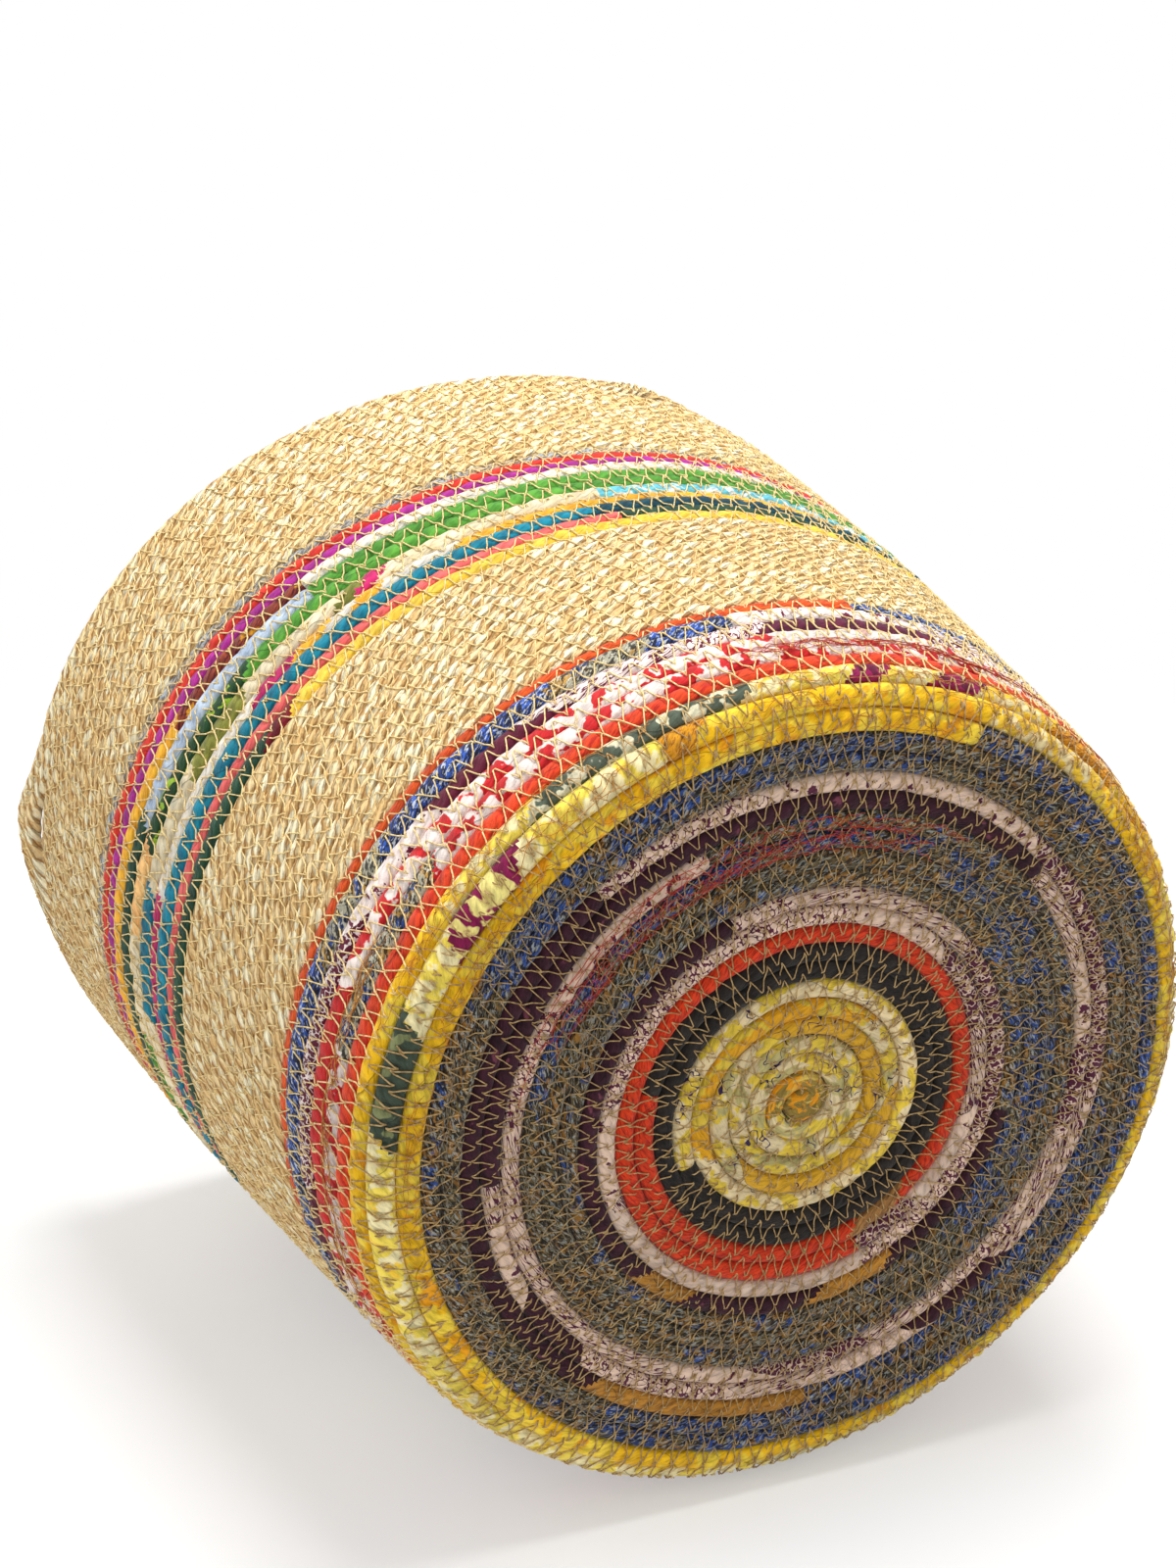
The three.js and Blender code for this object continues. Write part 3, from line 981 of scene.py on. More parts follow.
    def span_mesh(self, stretch: Stretch, start: float, end: float) -> tuple[np.ndarray, ...]:
        """Builds the cord of a stretch between two turns.

        Args:
            stretch: The stretch.
            start: The turn where it starts.
            end: The turn where it ends.

        Returns:
            The points, the faces, the two layers of coordinates, and each face's strip place.
            Rings at equal distances along the cord are joined by four-sided faces, and smaller
            rings and a point round off each end.
        """
        winding = self.winding
        first, last = winding.run(np.array([start, end]))
        count = max(int((last - first) / self.ring_step), 8)
        turn = winding.turn_of(np.linspace(first - self.end_overlap, last + self.end_overlap, count))
        turn = np.clip(turn, 0, winding.last_turn)
        grass = isinstance(self.finishes[stretch.strips[0].finish], GrassFinish)
        length, depth, middle_length, middle_depth = self.section(stretch, turn, grass)
        shrink = np.ones((count, 1))
        shrink[[0, -1]], shrink[[1, -2]] = self.end_sizes
        length = middle_length + (length - middle_length) * shrink
        depth = middle_depth + (depth - middle_depth) * shrink
        azimuth = winding.azimuth(turn)[:, None]
        rings = winding.shape.point(length, depth, azimuth + 0 * length)
        poles = winding.shape.point(middle_length, middle_depth, azimuth)[[0, -1], 0]
        points = np.concatenate([rings.reshape(-1, 3), poles])
        angle = np.append(self.angles(), 2 * np.pi)
        size = len(angle) - 1
        ring, side = index_grid(count - 1, size)
        near, far, following = ring * size, (ring + 1) * size, (side + 1) % size
        faces = np.stack([near + side, far + side, far + following, near + following], axis=-1)
        corner_ring = np.stack([ring, ring + 1, ring + 1, ring], axis=-1)
        corner_side = np.stack([side, side, side + 1, side + 1], axis=-1)
        sides = np.arange(size)
        ends = ((0, count * size, (1, 0)), ((count - 1) * size, count * size + 1, (0, 1)))
        for base, pole, order in ends:
            pair = np.stack([base + sides, base + (sides + 1) % size], axis=-1)[:, order]
            fan = np.concatenate([pair, np.full((size, 1), pole), np.full((size, 1), -1)], axis=1)
            faces = np.concatenate([faces, fan])
            corner_ring = np.concatenate([corner_ring, np.full((size, 4), base // size)])
            corner_side = np.concatenate([corner_side, np.repeat(sides[:, None], 4, axis=1)])
        run = winding.run(turn)[corner_ring]
        around = angle[corner_side]
        cord = np.stack([run * CM, around / (2 * np.pi) * GIRTH], axis=-1)
        strand = np.stack([self.strand(run, around), run * CM / np.cos(np.radians(LAY))], axis=-1)
        place = self.strip_place(run.mean(axis=1), around.mean(axis=1))
        return points, faces, cord, strand, place

    def piece(self, name: str, stretch: Stretch, spans: list[tuple[float, float]]) -> None:
        """Builds the cord between pairs of turns as one piece that stands for the solid of its name.

        Args:
            name: Name of the solid.
            stretch: The stretch that gives its strips.
            spans: The first and last turns.
        """
        parts = [self.span_mesh(stretch, *span) for span in spans]
        if name == "centre_fold":
            parts.append(self.centre_knot())
        points, faces = joined(parts)
        layers = {"cord": np.concatenate([part[2] for part in parts])}
        names = list(dict.fromkeys(strip.finish for strip in stretch.strips))
        if isinstance(self.finishes[names[0]], GrassFinish):
            layers["strand"] = np.concatenate([part[3] for part in parts])
        mesh = sheet_mesh("cord_" + name, points, faces, layers)
        place = np.concatenate([part[4] for part in parts])
        number = np.zeros(len(faces), dtype=np.int32)
        for strip in stretch.strips[1:]:
            number[place >= self.winding.run(strip.start)] = names.index(strip.finish)
        mesh.polygons.foreach_set("material_index", number)
        piece = add_piece(mesh, [self.materials[finish] for finish in names])
        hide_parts(name)

    def centre_knot(self) -> tuple[np.ndarray, ...]:
        """Builds the folded end of the cord in the middle of the first turn.

        Returns:
            The same as for a span: a ball of creased cloth, flattened to the thickness of the
            cord, with its radius changed by slow waves of the two angles.
        """
        rows, size = 12, 20
        polar = np.linspace(0, np.pi, rows + 1)[1:-1, None]
        turned = np.linspace(0, 2 * np.pi, size, endpoint=False)[None, :]
        swell = 1 + 0.10 * np.sin(3 * turned + 2 * polar) + 0.06 * np.sin(7 * turned - 3 * polar)
        wide, deep = 5.4 * MM, self.winding.thick
        middle = self.winding.centre_depth
        flat = np.sin(polar) ** 0.7 * swell * wide
        grid = np.stack([
            flat * np.cos(turned),
            0.8 * flat * np.sin(turned),
            middle - deep * np.cos(polar) * (1 + 0.1 * np.sin(5 * turned)),
        ], axis=-1)
        points = np.concatenate([grid.reshape(-1, 3), [[0, 0, middle - deep], [0, 0, middle + deep]]])
        ring, side = index_grid(rows - 2, size)
        following = (side + 1) % size
        faces = np.stack([ring * size + side, (ring + 1) * size + side, (ring + 1) * size + following,
                          ring * size + following], axis=-1)
        sides = np.arange(size)
        after = (sides + 1) % size
        none = np.full(size, -1)
        last = (rows - 2) * size
        first_fan = np.stack([np.full(size, last + size), sides, after, none], axis=-1)
        last_fan = np.stack([np.full(size, last + size + 1), last + after, last + sides, none], axis=-1)
        faces = np.concatenate([faces, first_fan, last_fan])
        cord = points[np.maximum(faces, 0)][:, :, :2] * CM
        return points, faces, cord, cord, np.zeros(len(faces))

    def build(self) -> None:
        """Builds every stretch, and the last one in the four pieces of the rim."""
        stretches = self.winding.stretches
        for stretch, following in zip(stretches[:-1], stretches[1:]):
            self.piece(stretch.name, stretch, [(stretch.start, following.start)])
        rim = stretches[-1]
        half = self.winding.handle_half
        right, left = self.winding.handle_turns
        spans = {
            "right_handle": [(right - half, right + half), (right + 1 - half, right + 1 + half)],
            "front_rim": [(right + half, left - half), (right + 1 + half, left + 1 - half)],
            "left_handle": [(left - half, left + half), (left + 1 - half, left + 1 + half)],
            "back_rim": [(left + half, right + 1 - half), (left + 1 + half, self.winding.last_turn)],
        }
        for name, turns in spans.items():
            self.piece(name, rim, turns)


def thread_tubes(
    knots: np.ndarray, above: np.ndarray, radius: np.ndarray, sides: int
) -> tuple[np.ndarray, np.ndarray]:
    """Makes thin closed tubes along lines of knots.

    Args:
        knots: The knots: lines by knots by coordinates.
        above: A point over each knot, away from the cover's surface.
        radius: The radius of each line.
        sides: The number of points round a knot, three or four.

    Returns:
        The points and the faces. The points stand round each knot, in the plane of the way up
        and of its cross product with the way along.
    """
    normal = above - knots
    normal /= np.linalg.norm(normal, axis=-1, keepdims=True)
    side = np.cross(np.gradient(knots, axis=1), normal)
    side /= np.linalg.norm(side, axis=-1, keepdims=True)
    angle = 2 * np.pi * (np.arange(sides) + 0.5) / sides
    spoke = np.cos(angle)[:, None] * normal[:, :, None] + np.sin(angle)[:, None] * side[:, :, None]
    rings = knots[:, :, None] + radius[:, None, None, None] * spoke
    count, marks = rings.shape[0], rings.shape[1]
    mark, corner = index_grid(marks - 1, sides)
    near, far, following = mark * sides, (mark + 1) * sides, (corner + 1) % sides
    quads = np.stack([near + corner, far + corner, far + following, near + following], axis=-1)
    ends = np.full((2, 4), -1)
    ends[0, :sides] = np.arange(sides)
    ends[1, :sides] = (marks - 1) * sides + np.arange(sides)[::-1]
    pattern = np.concatenate([quads, ends])
    base = (np.arange(count) * marks * sides)[:, None, None]
    return rings.reshape(-1, 3), np.where(pattern < 0, -1, pattern + base).reshape(-1, 4)


@dataclass
class LooseYarns:
    """Frayed yarns of the cloth strips, which lie loosely on the rows that they came from."""

    winding: Winding
    radius: float = 0.11 * MM
    knots: int = 12
    lengths: tuple[float, float] = (7 * MM, 30 * MM)
    spread: float = 2.2 * MM
    rise: float = 0.35 * MM

    def build(
        self, name: str, finish: ThreadFinish, spans: list[tuple[float, float]], number: int, seed: int
    ) -> None:
        """Strews yarns over some rows.

        Args:
            name: Name of the piece.
            finish: Their finish.
            spans: The first and last turns of the rows.
            number: How many there are in each span.
            seed: Seed of their places and bends.
        """
        winding = self.winding
        random = np.random.default_rng(seed)
        share = np.linspace(0, 1, self.knots)
        parts = []
        for first, last in spans:
            begin = random.uniform(*winding.run(np.array([first, last])), number)[:, None]
            run = begin + random.uniform(*self.lengths, number)[:, None] * share
            turn = winding.turn_of(run)
            phase, bend = random.uniform(0, 2 * np.pi, (2, number, 1))
            across = self.spread * (np.sin(phase + bend * share) + 0.3 * np.sin(5 * bend * share + phase))
            length = (winding.seam(turn) + winding.seam(turn + 1)) / 2 + across
            lift = self.rise * (1 + 0.6 * np.sin(4 * share + 3 * phase))
            depth = winding.centre_depth - winding.half_depth(turn) - winding.fat(turn) - lift
            azimuth = winding.azimuth(turn)
            knots = winding.shape.point(length, depth, azimuth)
            above = winding.shape.point(length, depth - 1 * MM, azimuth)
            parts.append(thread_tubes(knots, above, np.full(number, self.radius), 3))
        add_piece(sheet_mesh(name, *joined(parts)), [finish.make()])


@dataclass
class ZigzagStitching:
    """The zigzag seams of straw thread that hold each row to the next, outside and inside."""

    winding: Winding
    # painted shade: the base's finish is a darker copy of the wall's straw thread
    base_finish: ThreadFinish
    wall_finish: ThreadFinish
    base_thread: float = 0.19 * MM
    wall_thread: float = 0.24 * MM
    reach: float = 0.58
    clearance: float = 0.22 * MM
    dip: float = 0.8 * MM
    sag: float = 0.8 * MM
    messy_within: float = 26 * MM
    mess: float = 3.0
    uneven_place: float = 0.5 * MM
    uneven_reach: float = 0.08
    gap_share: float = 0.9
    end_margin: float = 0.02
    bow: float = 0.3
    bow_degrees: float = 0.2

    def legs(self, first: float, last: float, seed: int) -> dict[str, np.ndarray]:
        """Lays out the legs of the zigzag between two turns of the seam.

        Args:
            first: Turn of the seam where it starts.
            last: Turn of the seam where it ends.
            seed: Seed of the unevenness of the sewing.

        Returns:
            The lengths, azimuths, and inner and outer depths of the starts and ends of the
            legs. A punch follows each half step along the seam, by turns on the row below and
            on the row above, each a little off its place, the more so near the centre of the
            base, and a leg goes from each punch to the next.
        """
        winding = self.winding
        run = winding.run(np.array([first, last]))
        half_step = winding.stitch_step(np.array([first]))[0] / 2
        number = np.arange(int(np.floor(run[0] / half_step)) + 1, int(np.floor(run[1] / half_step)) + 1)
        random = np.random.default_rng(seed)
        mess = 1 + self.mess * np.exp(-((winding.seam(first) / self.messy_within) ** 2))
        place = number * half_step + random.normal(0, self.uneven_place * mess, len(number))
        turn = winding.turn_of(place)
        upper = number % 2 == 1
        row = np.where(upper, turn, turn - 1)
        seam = winding.seam(turn)
        width = winding.width(np.maximum(row, 0))
        reach = self.reach + random.normal(0, self.uneven_reach * mess, len(number))
        offset = np.where(upper, width, -width) * reach
        keep = self.sewn(turn[:-1]) & self.sewn(turn[1:])
        hump = winding.half_depth(np.maximum(row, 0)) + winding.fat(np.maximum(row, 0))
        inner = winding.half_depth(np.maximum(row, 0))
        deepest = winding.centre_depth + winding.handle_lean * winding.lift(turn)
        values = {
            "length": seam + offset + winding.lift(turn),
            "azimuth": winding.azimuth(turn),
            "outside": deepest - hump - self.clearance,
            "inside": deepest + inner + self.clearance,
            "bow": random.normal(0, self.bow, len(number)),
            "thread": np.where(seam < winding.base_edge, self.base_thread, self.wall_thread),
        }
        return {name: np.stack([value[:-1][keep], value[1:][keep]]) for name, value in values.items()}

    def sewn(self, turn: np.ndarray) -> np.ndarray:
        """Tells where the seam is sewn: not over the finger gaps, nor past the top row."""
        open_gap = np.zeros(len(turn), dtype=bool)
        for middle in self.winding.handle_turns:
            open_gap |= np.abs(turn - middle) < self.winding.handle_half * self.gap_share
        return ~open_gap & (turn < self.winding.last_turn - self.end_margin) & (turn > 1 + self.end_margin)

    def threads(self, legs: dict[str, np.ndarray], inside: bool) -> tuple[np.ndarray, np.ndarray]:
        """Makes the legs as thin tubes.

        Args:
            legs: What is laid out for their starts and ends.
            inside: Whether they lie on the inner face of the wall.

        Returns:
            The points and the faces. Each leg is a slightly bowed line over the groove, with a
            ring of points round each of its knots. It dips into the cord at both ends, and
            outside it sags into the groove.
        """
        shares = np.array([0.0, 0.5, 1.0]) if inside else np.array([0.0, 0.12, 0.5, 0.88, 1.0])
        sides = 3 if inside else 4

        def between(name: str) -> np.ndarray:
            """Gives a value at each knot, evenly between those of the two ends."""
            start, end = legs[name]
            return start[:, None] + (end - start)[:, None] * shares

        depth = between("inside" if inside else "outside")
        dips = np.where((shares == 0) | (shares == 1), self.dip, 0.0)
        sag = np.where(shares == 0.5, self.sag, 0.0)
        depth = depth - dips if inside else depth + dips + sag
        arc = np.sin(np.pi * shares)
        azimuth = between("azimuth") + legs["bow"][0][:, None] * arc * self.bow_degrees
        length = between("length")
        shape = self.winding.shape
        knots = shape.point(length, depth, azimuth)
        above = shape.point(length, depth - 1 * MM, azimuth)
        return thread_tubes(knots, above, legs["thread"][0], sides)

    def build(self, zones: dict[str, tuple[float, float]]) -> None:
        """Sews the zones.

        Args:
            zones: The first and last turn of the seam, by the name of each zone.
        """
        materials = {finish: finish.make() for finish in (self.base_finish, self.wall_finish)}
        for number, (name, (first, last)) in enumerate(zones.items()):
            finish = self.base_finish if name.endswith("base") else self.wall_finish
            parts = []
            for start in np.arange(first, last, 1.0):
                legs = self.legs(start, min(start + 1.0, last), int(start * 7) + number)
                parts += [self.threads(legs, inside) for inside in (False, True)]
            add_piece(sheet_mesh("stitches_" + name, *joined(parts)), [materials[finish]])


@dataclass
class Studio:
    """The white studio of the photograph: floor, lamps and camera."""

    shape: CoverShape
    camera_place: Vector = field(default_factory=lambda: Vector((-93.5, -637.5, -750.2)) * MM)
    camera_right: Vector = field(default_factory=lambda: Vector((0.799, 0.450, -0.400)))
    camera_up: Vector = field(default_factory=lambda: Vector((0.593, -0.700, 0.399)))
    lens: float = 78.75
    sensor: float = 36.0
    ground_normal: Vector = field(default_factory=lambda: Vector((0.515, -0.857, 0.030)).normalized())
    middle: Vector = field(default_factory=lambda: Vector((0, 0, 120)) * MM)
    shadow_from: float = 0.28
    shadow_to: float = 0.62
    rim_length: float = 370 * MM
    floor_tones: tuple[float, float] = (0.58, 0.60)
    floor_glow: float = 0.38
    bounce: float = 0.8
    soft_light: float = 0.52

    def camera(self) -> None:
        """Sets the camera where the photograph was taken from."""
        data = bpy.data.cameras.new("photo_camera")
        data.lens = self.lens
        data.sensor_width = self.sensor
        data.clip_start = 0.01
        right = self.camera_right.normalized()
        back = right.cross(self.camera_up).normalized()
        up = back.cross(right)
        turned = Matrix((right, up, back)).transposed().to_4x4()
        camera = bpy.data.objects.new("photo_camera", data)
        camera.matrix_world = Matrix.Translation(self.camera_place) @ turned
        bpy.context.scene.collection.objects.link(camera)
        bpy.context.scene.camera = camera

    def floor_material(self, name: str, centre: Vector, lights: bool) -> bpy.types.Material:
        """Makes a white floor that is seen from its front only, and fades out around the cover.

        Args:
            name: Name of the material.
            centre: The point that it fades out from.
            lights: Whether it also throws light back on the cover.

        Returns:
            The material. To the camera and in reflections it is partly matt, to take shadows,
            and partly glowing, so that it is white without them; from behind, and further
            from the centre than the shadows reach, it is clear.
        """
        graph = Graph(name)
        place = graph.node("TexCoord").outputs["Object"]
        path = graph.node("LightPath").outputs
        seen = path["Is Camera Ray"]
        for kind in ("Is Glossy Ray", "Is Transmission Ray"):
            seen = graph.maths("MAXIMUM", seen, path[kind])
        tone = graph.mix(graph.noise(place, 3, 2), *((level,) * 3 for level in self.floor_tones))
        matt = graph.node("BsdfDiffuse", {0: tone}).outputs[0]
        glow = graph.node("Emission", {0: (1.0, 1.0, 1.0), 1: self.floor_glow}).outputs[0]
        shown = graph.node("AddShader", {0: matt, 1: glow}).outputs[0]
        pale = graph.node("BsdfDiffuse", {0: (self.bounce,) * 3}).outputs[0]
        clear = graph.node("BsdfTransparent").outputs[0]
        hidden = graph.node("MixShader", {0: 1.0 if lights else 0.0, 1: clear, 2: pale}).outputs[0]
        shift = graph.node("VectorMath", {0: place, 1: tuple(centre)}, operation="DISTANCE").outputs["Value"]
        near = graph.steps(shift, self.shadow_to, self.shadow_from)
        front = graph.maths("SUBTRACT", 1.0, graph.node("NewGeometry").outputs["Backfacing"])
        faded = graph.node("MixShader", {0: near, 1: clear, 2: shown}).outputs[0]
        both = graph.node("MixShader", {0: seen, 1: hidden, 2: faded}).outputs[0]
        shader = graph.node("MixShader", {0: front, 1: clear, 2: both}).outputs[0]
        graph.node("OutputMaterial", {0: shader})
        return graph.material

    def floor(self, name: str, centre: Vector, normal: Vector, lights: bool) -> None:
        """Lays a large square floor.

        Args:
            name: Name of the floor.
            centre: Its middle.
            normal: The direction that it faces.
            lights: Whether it throws light back on the cover.
        """
        side = normal.orthogonal().normalized()
        other = normal.cross(side)
        corners = [centre + 2 * (a * side + b * other) for a, b in ((-1, -1), (1, -1), (1, 1), (-1, 1))]
        mesh = bpy.data.meshes.new(name)
        mesh.from_pydata([list(c) for c in corners], [], [(0, 1, 2, 3)])
        mesh.materials.append(self.floor_material(name, centre, lights))
        floor = bpy.data.objects.new(name, mesh)
        bpy.context.scene.collection.objects.link(floor)

    def ground(self) -> Vector:
        """Finds the point under the cover's middle on the plane that its side lies on."""
        lengths = np.linspace(0, self.rim_length, 75)[:, None]
        azimuths = np.linspace(0, 360, 181)[None, :]
        grid = self.shape.point(lengths + 0 * azimuths, 0 * lengths * azimuths, azimuths + 0 * lengths)
        lowest = float((grid @ np.array(self.ground_normal)).min()) - 1 * MM
        return self.middle + self.ground_normal * (lowest - self.middle.dot(self.ground_normal))

    def lamp(self, name: str, direction: Vector, distance: float, size: float, power: float) -> None:
        """Adds a square soft lamp that shines at the cover's middle.

        Args:
            name: Name of the lamp.
            direction: The direction that it stands in.
            distance: How far away it stands.
            size: Its side.
            power: Its power in watts.
        """
        data = bpy.data.lights.new(name, "AREA")
        data.size = size
        data.energy = power
        lamp = bpy.data.objects.new(name, data)
        away = direction.normalized()
        turn = away.to_track_quat("Z", "Y").to_matrix().to_4x4()
        lamp.matrix_world = Matrix.Translation(self.middle + away * distance) @ turn
        bpy.context.scene.collection.objects.link(lamp)

    def world(self) -> None:
        """Makes the background white for the camera and a soft grey light for the rest."""
        world = bpy.data.worlds.new("white_studio")
        world.use_nodes = True
        tree = world.node_tree
        tree.nodes.clear()
        path = tree.nodes.new("ShaderNodeLightPath")
        mix = tree.nodes.new("ShaderNodeMixShader")
        tree.links.new(path.outputs["Is Camera Ray"], mix.inputs[0])
        for socket, strength in ((1, self.soft_light), (2, 1.0)):
            light = tree.nodes.new("ShaderNodeBackground")
            light.inputs[0].default_value = (1, 1, 1, 1)
            light.inputs[1].default_value = strength
            tree.links.new(light.outputs[0], mix.inputs[socket])
        output = tree.nodes.new("ShaderNodeOutputWorld")
        tree.links.new(mix.outputs[0], output.inputs[0])
        bpy.context.scene.world = world

    def build(self) -> None:
        """Sets up the floors, the lamps, the background and the camera."""
        back = self.camera_right.cross(self.camera_up).normalized()
        right, up = self.camera_right.normalized(), self.camera_up.normalized()
        self.floor("studio_floor", self.ground(), self.ground_normal, True)
        self.floor("upright_floor", Vector((0, 0, -1 * MM)), Vector((0, 0, 1)), False)
        key, side = up * 0.85 + right * 0.1 + back * 0.3, up * 0.5 - right * 0.85 + back * 0.1
        fill, top = back + up * 0.2 - right * 0.3, Vector((0.1, -0.2, 1.0))
        self.lamp("key_lamp", key, distance=1.4, size=0.8, power=22.0)
        self.lamp("side_lamp", side, distance=1.6, size=1.0, power=4.5)
        self.lamp("fill_lamp", fill, distance=1.8, size=1.4, power=4.5)
        self.lamp("top_lamp", top, distance=1.6, size=1.2, power=5.0)
        self.world()
        self.camera()
        bpy.context.scene.view_settings.view_transform = "Standard"


